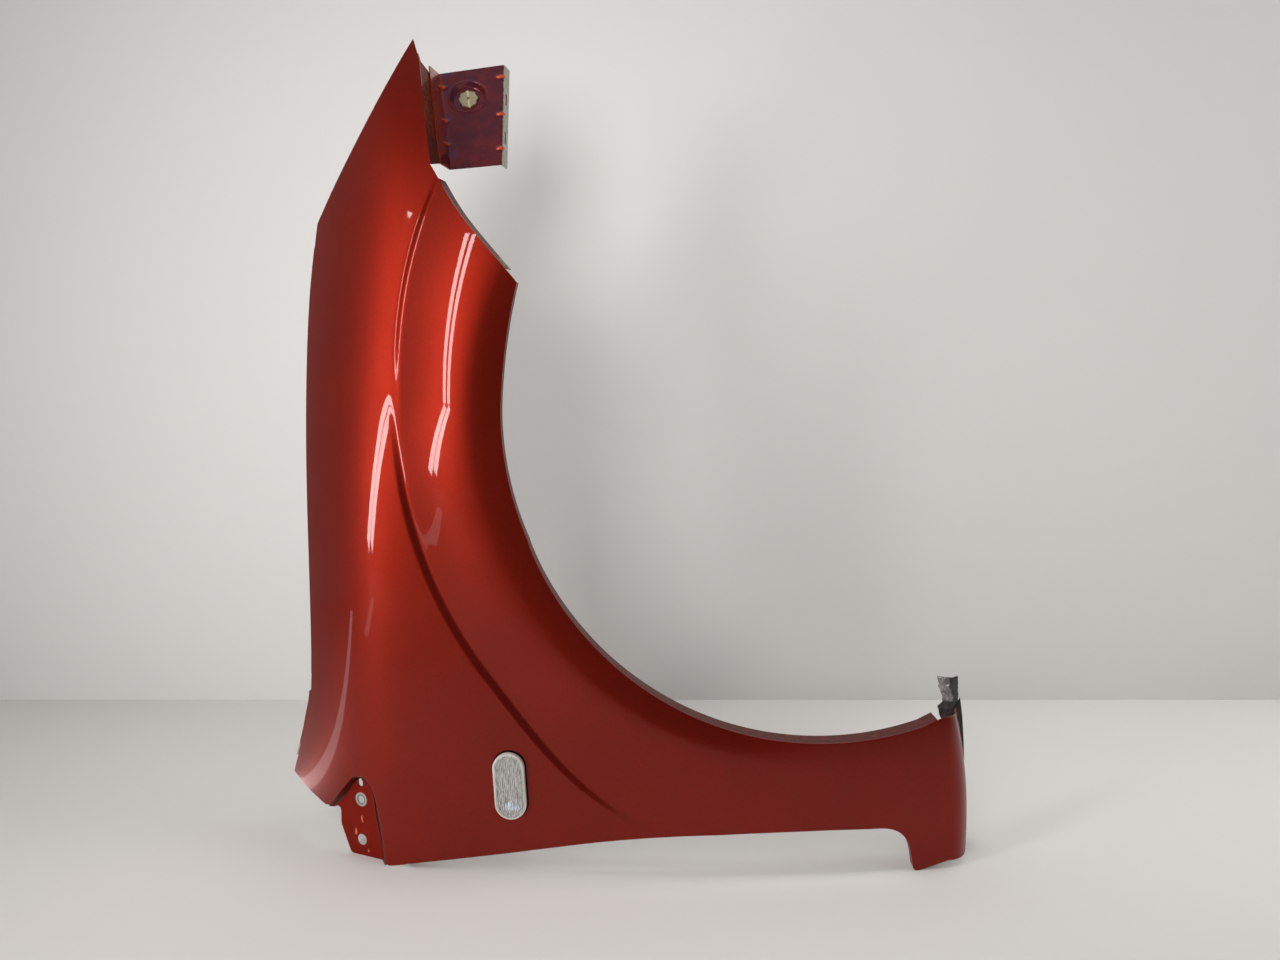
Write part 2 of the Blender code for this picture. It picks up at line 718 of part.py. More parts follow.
def build_panel(root):
    inner = inner_border()
    outer = outer_border()
    bm = bmesh.new()
    first_foot, _ = span_columns("foot")
    columns = []
    for k, (a, b) in enumerate(zip(inner, outer)):
        column = []
        last_share = None
        bowed = min(1.0, max(0.0, (k - first_foot) / SPANS["foot"]))
        for share in row_shares(a, b):
            if share != last_share:
                vertex = bm.verts.new(on_surface(a.lerp(b, share) + point(bow(share) * bowed, 0)))
            column.append(vertex)
            last_share = share
        columns.append(column)
    for left, right in zip(columns, columns[1:]):
        for i in range(len(left) - 1):
            corners = []
            for vertex in (left[i], left[i + 1], right[i + 1], right[i]):
                if vertex not in corners:
                    corners.append(vertex)
            if len(corners) > 2:
                bm.faces.new(corners)

    def inner_edge(first, last):
        return [column[0] for column in columns[first:last + 1]]

    def outer_edge(first, last):
        return [column[-1] for column in columns[first:last + 1]]

    first, last = span_columns("nose_tip")
    fold(bm, inner_edge(first + 1, last), bracket_return_rows())
    first, last = span_columns("nose")
    splay = BUMPER_RETURN_SPLAY
    fold(bm, inner_edge(first + 1, last - 1), [lambda co, t: co + Vector((splay, BUMPER_RETURN, splay / 2))])
    first, _ = span_columns("bonnet")
    _, last = span_columns("foot")
    lip_growth = LIP_DEPTH_SILL - LIP_DEPTH_FRONT
    fold(bm, inner_edge(first, last), [
        lambda co, t: co + Vector((0, LIP_DEPTH_FRONT + lip_growth * smooth_step(*LIP_GROWTH, t), 0))])

    first, _ = span_columns("nose_tip")
    _, last = span_columns("nose")
    fold(bm, outer_edge(first + 2, last - 1), [lambda co, t: co + Vector((0, HEADLAMP_RETURN, 0))])
    first, last = span_columns("bonnet")
    flat = [i for i in range(first + 1, last) if columns[i][-1].co.z > EAR.y + BONNET_FLANGE_END]
    fold(bm, outer_edge(flat[0], flat[-1]), bonnet_fold_rows())
    fold(bm, outer_edge(flat[-1] + 1, last - 1), [
        lambda co, t: co + Vector((-HEM_RADIUS, HEM_RADIUS, 0)),
        lambda co, t: co + Vector((-HEM_RADIUS / 2, BONNET_WALL_DEPTH, 0))])
    first, last = span_columns("cowl")
    fold(bm, outer_edge(first, last - 1), [lambda co, t: co + Vector((0, COWL_RETURN, 0))])
    first, last = span_columns("recess")
    wall_foot = fold(bm, outer_edge(first, last), [joggle])
    add_tab(bm, wall_foot)
    first, last = span_columns("door")
    fold(bm, outer_edge(first + 1, last), [lambda co, t: co + Vector((0, DOOR_RETURN, 0))])
    first, last = span_columns("fillet")
    fold(bm, outer_edge(first + 1, last - 1), [lambda co, t: co + Vector((0, FOOT_RETURN, 0))])
    first, last = span_columns("foot")
    fold(bm, outer_edge(first, last), [lambda co, t: co + Vector((0, FOOT_RETURN, 0))])
    fold(bm, columns[-1], sill_flange_rows())

    face_outward(bm, Vector((0, -1, 0)))
    panel = add_object("fender_panel", bm, root, "body_paint")
    thicken(panel, SHEET)
    cut_panel_holes(panel, root)
    return panel


def add_tab(bm, wall_foot):
    """Flat tab from the foot of the recess wall out to its own edge."""
    outer_x = DOOR_CORNER.x - TAB_REACH
    top_z = FLOOR_Z + TAB_TOP_HEIGHT
    start = point(wall_foot[0].co.x, wall_foot[0].co.z)
    end = point(wall_foot[-1].co.x, wall_foot[-1].co.z)
    edge = rounded(
        [start, point(outer_x, top_z), point(outer_x, top_z - TAB_SIDE_LENGTH),
         point(outer_x + TAB_FOOT_INSET, FLOOR_Z), end],
        (TAB_CORNER_RADIUS,) * 3, 3)
    outline = [bm.verts.new((p.x, tab_depth(p.x), p.y)) for p in edge[1:-1]]
    bm.faces.new(wall_foot + outline[::-1])


def cut_panel_holes(panel, root):
    through = (-HOLE_CUT, HOLE_CUT)
    for i, height in enumerate(BONNET_BOLT_HEIGHTS):
        x = BONNET_X + BONNET_FLANGE_INSET
        y = depth_at(point(BONNET_X, height)) + BONNET_WALL_DEPTH + BONNET_FLANGE_WIDTH / 2
        hole = stacked([circle(BONNET_BOLT_DIAMETER / 2, z, 16) for z in through])
        cutter = add_cutter(f"bonnet_bolt_cut_{i + 1}", hole, root, panel)
        cutter.matrix_local = frame_facing(Vector((x, y, height)), Vector((1, 0, 0)), Vector((0, 0, 1)))
    tab_normal = Vector((-TAB_SLOPE, -1, 0))
    x = DOOR_CORNER.x - TAB_HOLE_INSET
    tab_holes = [
        [circle(TAB_BOLT_DIAMETER / 2, z, 20) for z in through],
        [circle(TAB_SCREW_DIAMETER / 2, z, 16) for z in through],
        [stadium(TAB_SLOT_LENGTH, TAB_SLOT_WIDTH, 0, z, 6) for z in through],
    ]
    for i, (height, loops) in enumerate(zip(TAB_HOLE_HEIGHTS, tab_holes)):
        cutter = add_cutter(f"tab_hole_cut_{i + 1}", stacked(loops), root, panel)
        place = Vector((x, tab_depth(x), FLOOR_Z + height))
        cutter.matrix_local = frame_facing(place, tab_normal, Vector((0, 0, 1)))
    opening = LENS_FLANGE - SEAT_GAP
    loops = [stadium(LAMP_LENGTH, LAMP_WIDTH, opening, z) for z in (-LAMP_CUT, LAMP_CUT)]
    cutter = add_cutter("lamp_cut", stacked(loops), root, panel)
    cutter.matrix_local = lamp_frame()


# Bumper bracket, grommet and sill bracket

def return_face_point(share, depth):
    """Point on the outer face of the bracket return, by share of its edge and depth from it."""
    edge = TIP_SHOULDER.lerp(BRACKET_FOOT, share)
    splay = BRACKET_RETURN_SPLAY * depth / BRACKET_RETURN
    return on_surface(edge) + Vector((splay, depth, 0))


def bracket_corners():
    """Seam, web and rear flange corners of the bracket, top and bottom."""
    top_share = BRACKET_TOP / BRACKET_EDGE_LENGTH
    shares = (top_share, top_share + BRACKET_RISE / BRACKET_EDGE_LENGTH)
    clear = Vector((SEAT_GAP + BRACKET_SHEET + BRACKET_FIT_GAP, 0, 0))
    upward = return_face_point(shares[0], 0) - return_face_point(shares[1], 0)
    upward /= upward.z
    rows = []
    for share, width, slope in zip(
            shares, (BRACKET_TOP_WIDTH, BRACKET_BOTTOM_WIDTH), (BRACKET_TOP_SLOPE, BRACKET_BOTTOM_SLOPE)):
        web = return_face_point(share, BRACKET_WEB_DEPTH) + clear
        seam = return_face_point(share, BRACKET_WEB_DEPTH - BRACKET_SEAM_DEPTH) + clear
        far = web + (Vector((1, 0, 0)) + upward * slope) * width
        rear = far + Vector((BRACKET_REAR_SPLAY, BRACKET_REAR_FLANGE, 0))
        rows.append((seam, web, far, rear))
    return rows


def bracket_plane():
    """Frame on the bracket's web: Z out of the painted side, Y up the web."""
    top, bottom = bracket_corners()
    outward = (top[2] - top[1]).cross(top[1] - bottom[1])
    if outward.y > 0:
        outward = -outward
    upward = top[1] - bottom[1]
    above = top[1].lerp(top[2], CUP_ALONG_SHARE)
    below = bottom[1].lerp(bottom[2], CUP_ALONG_SHARE)
    middle = above.lerp(below, CUP_DOWN_SHARE)
    return frame_facing(middle, outward, upward)


def build_bracket(root):
    top, bottom = bracket_corners()
    plane = bracket_plane()
    bends = (BRACKET_BEND_RADIUS, BRACKET_BEND_RADIUS)
    bm = bmesh.new()
    upper = [bm.verts.new(p) for p in rounded(list(top), bends)]
    lower = [bm.verts.new(p) for p in rounded(list(bottom), bends)]
    web_start = len(upper) // 2 - 1
    rim = [bm.verts.new(plane @ p) for p in circle(CUP_RADIUS, 0)]
    floor = [bm.verts.new(plane @ p) for p in circle(CUP_RADIUS - CUP_DRAFT, -CUP_DEPTH)]
    hole = [bm.verts.new(plane @ p) for p in circle(GROMMET_SHANK_RADIUS + SEAT_GAP, -CUP_DEPTH)]
    for a, b in ((rim, floor), (floor, hole)):
        for i in range(len(a)):
            k = (i + 1) % len(a)
            bm.faces.new((a[i], a[k], b[k], b[i]))
    for i in range(len(upper) - 1):
        if i != web_start:
            bm.faces.new((upper[i], upper[i + 1], lower[i + 1], lower[i]))
    corners = (upper[web_start], upper[web_start + 1], lower[web_start + 1], lower[web_start])
    web_edges = []
    for i, corner in enumerate(corners):
        following = corners[(i + 1) % 4]
        web_edges.append(bm.edges.get((corner, following)) or bm.edges.new((corner, following)))
    rim_edges = [bm.edges.get((rim[i], rim[(i + 1) % len(rim)])) for i in range(len(rim))]
    outward = plane.to_3x3() @ Vector((0, 0, 1))
    bmesh.ops.triangle_fill(bm, edges=web_edges + rim_edges, normal=outward, use_beauty=True)
    bmesh.ops.recalc_face_normals(bm, faces=bm.faces)
    flat = max(bm.faces, key=lambda face: face.calc_area() * abs(face.normal.dot(outward)))
    if flat.normal.dot(outward) < 0:
        bmesh.ops.reverse_faces(bm, faces=bm.faces)
    bracket = add_object("bumper_bracket", bm, root, "bracket_paint")
    thicken(bracket, BRACKET_SHEET)
    rear_normal = (top[3] - top[2]).cross(top[2] - bottom[2])
    for i, share in enumerate(BRACKET_SLOT_SHARES):
        place = top[2].lerp(top[3], 0.5).lerp(bottom[2].lerp(bottom[3], 0.5), share)
        through = (-HOLE_CUT, HOLE_CUT)
        slot = stacked([stadium(BRACKET_SLOT_LENGTH, BRACKET_SLOT_WIDTH, 0, z, 5) for z in through])
        cutter = add_cutter(f"bracket_slot_cut_{i + 1}", slot, root, bracket)
        cutter.matrix_local = frame_facing(place, rear_normal, top[2] - bottom[2])
    return bracket


def build_grommet(root):
    seat = SEAT_GAP - CUP_DEPTH
    head_top = seat + GROMMET_HEAD_THICKNESS
    tip = seat - GROMMET_SHANK_LENGTH
    steps = GROMMET_LOBES * 6
    behind = seat - SEAT_GAP * 2 - BRACKET_SHEET

    def ring(radius, height, lobe_depth=0.0):
        return circle(radius, height, steps, GROMMET_LOBES, lobe_depth)

    bore = GROMMET_BORE_RADIUS
    head = GROMMET_HEAD_RADIUS
    loops = [
        ring(bore, head_top),
        ring(head - 2 * GROMMET_HEAD_EDGE, head_top, GROMMET_LOBE_DEPTH),
        ring(head, head_top - GROMMET_HEAD_EDGE, GROMMET_LOBE_DEPTH),
        ring(head, seat, GROMMET_LOBE_DEPTH),
        ring(GROMMET_SHANK_RADIUS, seat),
        ring(GROMMET_SHANK_RADIUS, behind),
        ring(GROMMET_BARB_RADIUS, behind - GROMMET_BARB_RUN),
        ring(GROMMET_TIP_RADIUS, tip),
        ring(bore, tip),
    ]
    grommet = add_object("bracket_grommet", stacked(loops, closed_ring=True), root, "natural_nylon")
    grommet.matrix_local = bracket_plane()
    return grommet


def sill_flange_point(z, share):
    """Point on the outer face of the sill flange at a height and a share of its depth."""
    edge = Vector((sill_edge_x(z), depth_at(point(sill_edge_x(z), z)), z))
    flare = sill_flare(sill_share(z))
    return edge + Vector((flare * share, SILL_FLANGE_DEPTH * share, 0))


def build_sill_bracket(root):
    """Angle strip behind the sill flange: one leg along the flange and a wing towards the arch."""
    top_z = ARCH_END.y + SILL_BRACKET_TOP
    bottom_z = top_z - SILL_BRACKET_LENGTH
    clear = Vector((-(SHEET + SEAT_GAP + SILL_BRACKET_LEAN_GAP), 0, 0))
    bm = bmesh.new()
    rows = []
    stations = [
        (top_z, SILL_BRACKET_WING, SILL_BRACKET_TOP_FALL),
        (ARCH_END.y, SILL_BRACKET_WING_MIDDLE, 0),
        (bottom_z, SILL_BRACKET_WING_FOOT, 0),
    ]
    for z, wing, fall in stations:
        front = sill_flange_point(z, SILL_BRACKET_LEG_SHARES[0]) + clear
        back = sill_flange_point(z, SILL_BRACKET_LEG_SHARES[1]) + clear + Vector((0, 0, -fall))
        edge = front + Vector((-wing, SILL_BRACKET_WING_SPLAY, 0))
        rows.append([bm.verts.new(p) for p in (edge, front, back)])
    for upper, lower in zip(rows, rows[1:]):
        for i in range(2):
            bm.faces.new((upper[i], upper[i + 1], lower[i + 1], lower[i]))
    face_outward(bm, Vector((0, -1, 0)))
    bracket = add_object("sill_bracket", bm, root, "sill_coating")
    thicken(bracket, BRACKET_SHEET)
    return bracket


# Side repeater lamp

def lamp_frame():
    """Frame on the painted surface at the lamp: Z out of the panel, Y along the lamp."""
    centre = point(BONNET_X + LAMP_FROM_BONNET, FLOOR_Z + LAMP_ABOVE_FOOT)
    reach = LAMP_WIDTH / 2
    slope_x = (depth_at(centre + point(reach, 0)) - depth_at(centre - point(reach, 0))) / (2 * reach)
    slope_z = (depth_at(centre + point(0, reach)) - depth_at(centre - point(0, reach))) / (2 * reach)
    outward = Vector((slope_x, -1, slope_z))
    lean = math.radians(LAMP_LEAN)
    return frame_facing(on_surface(centre), outward, Vector((-math.sin(lean), 0, math.cos(lean))))


def build_lamp(root):
    seat = add_empty("repeater_seat")
    seat.parent = root
    seat.matrix_local = lamp_frame()

    def loop(inset, height):
        return stadium(LAMP_LENGTH, LAMP_WIDTH, inset, height)

    gasket_top = SEAT_GAP + GASKET_THICKNESS
    gasket_inner = LENS_FLANGE - 2 * SEAT_GAP
    add_object("repeater_gasket", stacked(
        [loop(GASKET_INSET, SEAT_GAP), loop(GASKET_INSET, gasket_top),
         loop(gasket_inner, gasket_top), loop(gasket_inner, SEAT_GAP)], closed_ring=True),
        seat, "seal_rubber")

    base = gasket_top + SEAT_GAP
    top = base + LENS_HEIGHT
    skirt_foot = base - LENS_SKIRT
    skirt_inner = LENS_FLANGE + LENS_WALL
    add_object("repeater_lens", stacked([
        loop(skirt_inner, top - LENS_WALL),
        loop(skirt_inner, skirt_foot),
        loop(LENS_FLANGE, skirt_foot),
        loop(LENS_FLANGE, base),
        loop(0, base),
        loop(0, top - LENS_EDGE),
        loop(LENS_EDGE / 3, top - LENS_EDGE / 3),
        loop(LENS_EDGE, top)]), seat, "clear_lens")

    rim = base + HOUSING_RIM
    housing_outer = skirt_inner + SEAT_GAP
    housing_inner = housing_outer + HOUSING_WALL
    floor = rim - HOUSING_DEPTH
    housing = add_object("repeater_housing", stacked([
        loop(housing_inner + HOUSING_FLOOR_TAPER, floor + HOUSING_WALL),
        loop(housing_inner, rim),
        loop(housing_outer, rim),
        loop(housing_outer, skirt_foot - SHEET),
        loop(housing_outer + HOUSING_TAPER, floor)]), seat, "lamp_plastic")
    bore = stacked([circle(HOLDER_NECK_RADIUS + SEAT_GAP, z) for z in (floor - BORE_CUT, floor + BORE_CUT)])
    add_cutter("holder_bore_cut", bore, seat, housing)

    face = floor + HOUSING_WALL + HOLDER_STAND
    neck = floor - SEAT_GAP
    back = neck - HOLDER_FLANGE
    pocket = BULB_NECK_RADIUS + SEAT_GAP
    pocket_floor = neck - BULB_WEDGE_DEPTH
    add_object("repeater_bulb_holder", stacked([
        circle(pocket, pocket_floor),
        circle(pocket, face),
        circle(HOLDER_NECK_RADIUS, face),
        circle(HOLDER_NECK_RADIUS, neck),
        circle(HOLDER_RADIUS, neck),
        circle(HOLDER_RADIUS, back),
        circle(HOLDER_BACK_RADII[0], back - HOLDER_CHAMFER),
        circle(HOLDER_BACK_RADII[1], neck - HOLDER_LENGTH)]), seat, "holder_plastic")

    shoulder = face + BULB_SHOULDER
    dome = shoulder + BULB_LENGTH - BULB_RADIUS
    glass = [
        circle(BULB_WEDGE_RADIUS, pocket_floor + SEAT_GAP, 20),
        circle(BULB_NECK_RADIUS, face, 20),
        circle(BULB_RADIUS, shoulder, 20),
        circle(BULB_RADIUS, dome, 20),
    ]
    for degrees in range(15, 90, 15):
        turn = math.radians(degrees)
        glass.append(circle(BULB_RADIUS * math.cos(turn), dome + BULB_RADIUS * math.sin(turn), 20))
    add_object("repeater_bulb", stacked(glass), seat, "bulb_glass")


# Whole fender

def settle_on_origin(root):
    """Move the root so that the middle of the underside of the part lies at the origin."""
    bpy.context.view_layer.update()
    graph = bpy.context.evaluated_depsgraph_get()
    low = Vector((math.inf,) * 3)
    high = -low
    for made in bpy.context.scene.objects:
        if made.type != "MESH" or made.hide_render:
            continue
        shape = made.evaluated_get(graph)
        for vertex in shape.data.vertices:
            place = shape.matrix_world @ vertex.co
            for axis in range(3):
                low[axis] = min(low[axis], place[axis])
                high[axis] = max(high[axis], place[axis])
    root.location = (-(low.x + high.x) / 2, -(low.y + high.y) / 2, -low.z)


def build():
    for made in list(bpy.data.objects):
        bpy.data.objects.remove(made, do_unlink=True)
    root = add_empty("fender_root")
    build_panel(root)
    build_bracket(root)
    build_grommet(root)
    build_sill_bracket(root)
    build_lamp(root)
    settle_on_origin(root)


build()
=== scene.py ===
import math

import bmesh
import bpy
import numpy as np
from mathutils import Matrix, Vector


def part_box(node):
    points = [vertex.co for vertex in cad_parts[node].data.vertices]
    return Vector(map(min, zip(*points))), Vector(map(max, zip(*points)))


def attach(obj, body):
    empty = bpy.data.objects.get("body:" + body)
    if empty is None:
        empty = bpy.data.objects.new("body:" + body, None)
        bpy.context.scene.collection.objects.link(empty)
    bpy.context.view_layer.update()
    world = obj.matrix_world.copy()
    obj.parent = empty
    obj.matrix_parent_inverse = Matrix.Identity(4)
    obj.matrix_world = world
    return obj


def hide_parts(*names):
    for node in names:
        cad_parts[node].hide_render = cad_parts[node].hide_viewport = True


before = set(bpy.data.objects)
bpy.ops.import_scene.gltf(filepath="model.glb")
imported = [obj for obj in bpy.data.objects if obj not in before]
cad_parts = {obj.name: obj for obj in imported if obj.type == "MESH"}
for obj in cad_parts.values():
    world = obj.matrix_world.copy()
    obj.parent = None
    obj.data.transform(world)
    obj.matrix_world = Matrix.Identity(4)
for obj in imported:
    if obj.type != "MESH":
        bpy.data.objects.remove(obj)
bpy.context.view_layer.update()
print("frame loaded with", len(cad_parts), "nodes")

# Sizes are metres and angles degrees. The panel is worked out from the wheel centre, as in its drawing:
# x down the car, y inboard and z forward along the car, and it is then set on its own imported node.


# Camera

wheel = Vector((0.21283, -0.07424, 0.485))

camera = {
    "beforePanel": 1.030,
    "leftOfWheel": 0.193,
    "height": 0.50585,
    "pitch": 5.0,
    "focal": 28.125,
    "sensor": 36.0,
    "nearest": 0.02,
}


def addCamera():
    data = bpy.data.cameras.new("camera")
    data.lens = camera["focal"]
    data.sensor_width = camera["sensor"]
    data.clip_start = camera["nearest"]
    made = bpy.data.objects.new("camera", data)
    made.location = (wheel.x - camera["leftOfWheel"], wheel.y - camera["beforePanel"], camera["height"])
    made.rotation_euler = (math.radians(90 - camera["pitch"]), 0, 0)
    bpy.context.scene.collection.objects.link(made)
    bpy.context.scene.camera = made


# Panel surface

panel = {
    "sheet": 0.0008,
    "archRadius": 0.334, "archFrontAngle": 157.4, "archFootAngle": 287.5,
    "archFrontOpening": 0.010, "archFrontSpan": 20.0,
    "archSillOpening": 0.010, "archSillStart": 203.0, "archSillSpan": 84.0, "archSillEase": 0.6,
    "archStops": (200, 203, 226, 277), "humpRise": 0.013, "endRise": 0.0138,
    "lipFront": 0.013, "lipSill": 0.025,
    "crownWidth": 0.032, "crownDrop": 0.010, "crownBlend": 0.005, "crownEase": 1.3,
    "crownFade": 0.7, "crownFadeAngles": (235, 275),
    "flareWidth": 0.108, "flareHeight": 0.017, "flareFade": 0.75, "flareFadeAngles": (225, 275),
    "flareSpreadFront": 0.035, "spreadFrontAngle": 187, "spreadFrontSpan": 38, "spreadFrontEase": 1.5,
    "flareSpreadDoor": 0.0235, "spreadDoorAngles": (218, 246),
    "stepHeight": 0.005, "stepWidth": 0.009, "stepRiseAngles": (178, 200), "stepFallAngles": (222, 252),
    "grooveRaise": 0.0022, "grooveWidth": 0.007, "grooveFadeAngles": (168, 184), "browWidth": 0.035,
    "valleyBlend": 0.003,
    "bonnetX": -0.559, "doorZ": -0.4364, "floorZ": -0.485,
    "footInner": 0.0891, "footLean": 0.0083, "footFillet": 0.034, "footCorner": 0.005,
    "footToe": 0.015, "footRise": 0.009, "sillCornerRise": 0.013,
    "sillTop": 0.145, "sillBottom": 0.162, "sillBow": 0.006, "sillRoll": 0.026,
    "flangeDepth": 0.045, "flangeFlareTop": 0.021, "flangeFlareFoot": 0.0115,
    "sideBulge": 0.022, "sideCrown": -0.150, "sideRadius": 2.2,
    "shoulder": -0.455, "shoulderRadius": 0.120, "shoulderBlend": 0.03,
    "noseStart": -0.060, "noseRadius": 1.0, "noseBlend": 0.12,
    "headlampReturn": 0.009, "bumperReturn": 0.024, "bumperSplay": 0.003,
    "bracketReturn": 0.060, "bracketSplay": 0.010, "bracketEdge": 0.126, "returnEdge": 0.004,
    "returnRise": 4.5, "returnLift": 0.24,
    "doorReturn": 0.014, "footReturn": 0.009, "cowlReturn": 0.008,
    "hem": 0.003, "bonnetInset": 0.014, "bonnetWall": 0.014, "bonnetFlange": 0.024,
    "boltHeights": (0.150, -0.045, -0.240), "boltDiameter": 0.0085,
    "tabJoggle": 0.011, "tabSlope": 0.46, "tabReach": 0.057, "tabTop": 0.053, "tabHoleInset": 0.0308,
    "tabCorner": 0.005, "tabSide": 0.022, "tabToe": 0.012, "tabRows": 64, "tabFillet": 0.0016,
    "tabFold": 0.012,
    "recessHeight": 0.093, "joggleRun": 0.0065, "recessBend": 0.0040,
    "tabHoles": ((0.0179, 0.0125, 0.0125), (0.0631, 0.0085, 0.0085), (0.0824, 0.0055, 0.0088)),
    "bend": 0.0014, "softBend": 0.0012, "looseBend": 0.002, "noBend": 1e-4, "bendSteps": 4,
    "rows": (14, 26, 12, 34), "flangeRows": 10,
    "crownShares": (0.06, 0.60), "valleyShare": 0.85, "valleyGap": 0.15, "ridgeShare": 0.89, "ridgeGap": 0.03,
}


def point(x, z):
    return np.array([x, z], float)


bonnetCorner = point(panel["bonnetX"] + 0.011, 0.2055)
tip = bonnetCorner + point(0.1045, 0.2045)
tipShoulder = tip + 0.027 * point(0.33, -0.944)
bracketFoot = tipShoulder + panel["bracketEdge"] * point(0.165, -0.986)
ear = point(panel["bonnetX"] - 0.041, panel["floorZ"] + 0.062)
notch = ear + point(0.0615, -0.0133)
doorCorner = point(-0.4665, panel["floorZ"])
recessTop = doorCorner + point(-0.034, panel["recessHeight"])
tabHoleX = doorCorner[0] - panel["tabHoleInset"]
doorEnd = point(panel["footInner"] - 0.046, panel["doorZ"])
footCorner = point(panel["footInner"] + panel["footToe"], panel["floorZ"])
footMiddle = point(panel["sillBottom"] - panel["sillRoll"], panel["floorZ"] + panel["footRise"])
footEnd = point(panel["sillBottom"], panel["floorZ"] + panel["sillCornerRise"])
archHump = point(panel["sillTop"] - panel["sillRoll"], panel["humpRise"] - panel["archRadius"])
archEnd = point(panel["sillTop"], panel["endRise"] - panel["archRadius"])


def smoothStep(start, end, value):
    t = np.clip((value - start) / (end - start), 0, 1)
    return t * t * (3 - 2 * t)


def ramp(distance, blend):
    return (distance + np.sqrt(distance * distance + blend * blend)) / 2


def evenly(count):
    return np.linspace(0, 1, count + 1)


def along(path, shares):
    path = np.asarray(path, float)
    lengths = np.concatenate([[0], np.cumsum(np.linalg.norm(np.diff(path, axis=0), axis=1))])
    target = np.asarray(shares) * lengths[-1]
    return np.stack([np.interp(target, lengths, path[:, k]) for k in range(path.shape[1])], axis=1)


def curveThrough(points, shares, steps=40):
    points = [np.asarray(p, float) for p in points]
    ends = [2 * points[0] - points[1]] + points + [2 * points[-1] - points[-2]]
    dense = [points[0]]
    for before, a, b, after in zip(ends, ends[1:], ends[2:], ends[3:]):
        for t in evenly(steps)[1:]:
            pullA = (b - before) / 2
            pullB = (after - a) / 2
            dense.append((2 * t**3 - 3 * t**2 + 1) * a + (t**3 - 2 * t**2 + t) * pullA
                         + (-2 * t**3 + 3 * t**2) * b + (t**3 - t**2) * pullB)
    return along(dense, shares)


def roundedPath(corners, radii, steps=8):
    path = [corners[0]]
    for before, corner, after, radius in zip(corners, corners[1:], corners[2:], radii):
        into = (before - corner) / np.linalg.norm(before - corner)
        out = (after - corner) / np.linalg.norm(after - corner)
        reach = radius / math.tan(math.acos(np.clip(into @ out, -1, 1)) / 2)
        for t in evenly(steps):
            path.append((corner + into * reach) * (1 - t) ** 2 + corner * 2 * t * (1 - t)
                        + (corner + out * reach) * t * t)
    path.append(corners[-1])
    return path


def archPoints(start, end, shares):
    angle = start + (end - start) * np.asarray(shares)
    front = np.maximum(0, (panel["archFrontAngle"] + panel["archFrontSpan"] - angle) / panel["archFrontSpan"])
    sill = np.maximum(0, (angle - panel["archSillStart"]) / panel["archSillSpan"]) ** panel["archSillEase"]
    radius = panel["archRadius"] + panel["archFrontOpening"] * front**2 + panel["archSillOpening"] * sill
    turn = np.radians(angle)
    return np.stack([radius * np.cos(turn), radius * np.sin(turn)], axis=1)


spans = {"noseTip": 48, "nose": 44, "bonnet": 120, "cowl": 14, "recess": 56,
         "door": 96, "fillet": 36, "foot": 12, "roll": 20}
rollTurns = np.sin(np.radians(90 * evenly(spans["roll"])))


def spanColumns(name):
    first = 0
    for other, count in spans.items():
        if other == name:
            return first, first + count
        first += count


def joined(*pieces):
    return np.concatenate([pieces[0]] + [piece[1:] for piece in pieces[1:]])


def innerBorder():
    stops = (panel["archFrontAngle"], *panel["archStops"], panel["archFootAngle"])
    arch = {name: archPoints(start, end, evenly(spans[name]) ** (2 if name == "recess" else 1))
            for name, start, end in zip(("bonnet", "cowl", "recess", "door", "fillet"), stops, stops[1:])}
    archStart = arch["bonnet"][0]
    archFoot = arch["fillet"][-1]
    bumperMiddle = bracketFoot + (archStart - bracketFoot) * 0.42 + point(-0.0042, -0.0032)
    rollMiddle = (archHump + archEnd) / 2 + point(0, 0.002)
    return joined(
        along([tip, tipShoulder, bracketFoot], evenly(spans["noseTip"])),
        curveThrough([bracketFoot, bumperMiddle, archStart], evenly(spans["nose"])),
        *arch.values(),
        curveThrough([archFoot, archHump], evenly(spans["foot"])),
        curveThrough([archHump, rollMiddle, archEnd], rollTurns))


def outerBorder():
    x = panel["bonnetX"]
    z = panel["doorZ"]
    headlamp = curveThrough([tip, tip + (bonnetCorner - tip) * 0.57 + point(0.003, 0), bonnetCorner],
                            evenly(spans["noseTip"] + spans["nose"]))
    bonnet = curveThrough([bonnetCorner, point(x + 0.0035, 0.110), point(x, -0.060),
                           point(x - 0.0005, ear[1] + 0.143), point(x - 0.013, ear[1] + 0.073), ear],
                          evenly(spans["bonnet"]))
    recess = curveThrough([notch, notch + point(0.0195, 0.0245), recessTop, recessTop + point(0.018, -0.006),
                           doorCorner + point(-0.0065, 0.056), doorCorner], evenly(spans["recess"]))
    door = curveThrough([doorCorner, doorCorner + point(0.120, 0.0195), point(-0.219, z - 0.010),
                         point(-0.094, z - 0.002), point(-0.010, z), doorEnd], evenly(spans["door"]))
    fillet = along(roundedPath([doorEnd, point(panel["footInner"], z),
                                point(panel["footInner"] + panel["footLean"], panel["floorZ"]), footCorner],
                               (panel["footFillet"], panel["footCorner"])), evenly(spans["fillet"]))
    rollMiddle = footMiddle + (footEnd - footMiddle) * 0.7 + point(0, -0.002)
    return joined(headlamp, bonnet, along([ear, notch], evenly(spans["cowl"])), recess, door, fillet,
                  along([footCorner, footMiddle], evenly(spans["foot"])),
                  curveThrough([footMiddle, rollMiddle, footEnd], rollTurns))


def sillShare(z):
    return np.maximum(0, (archEnd[1] - z) / (archEnd[1] - footEnd[1]))


def sillBow(share):
    inside = np.clip(share, 0, 1)
    return 4 * panel["sillBow"] * inside * (1 - inside)


def sillEdge(z):
    share = sillShare(z)
    return panel["sillTop"] + (panel["sillBottom"] - panel["sillTop"]) * share + sillBow(share)


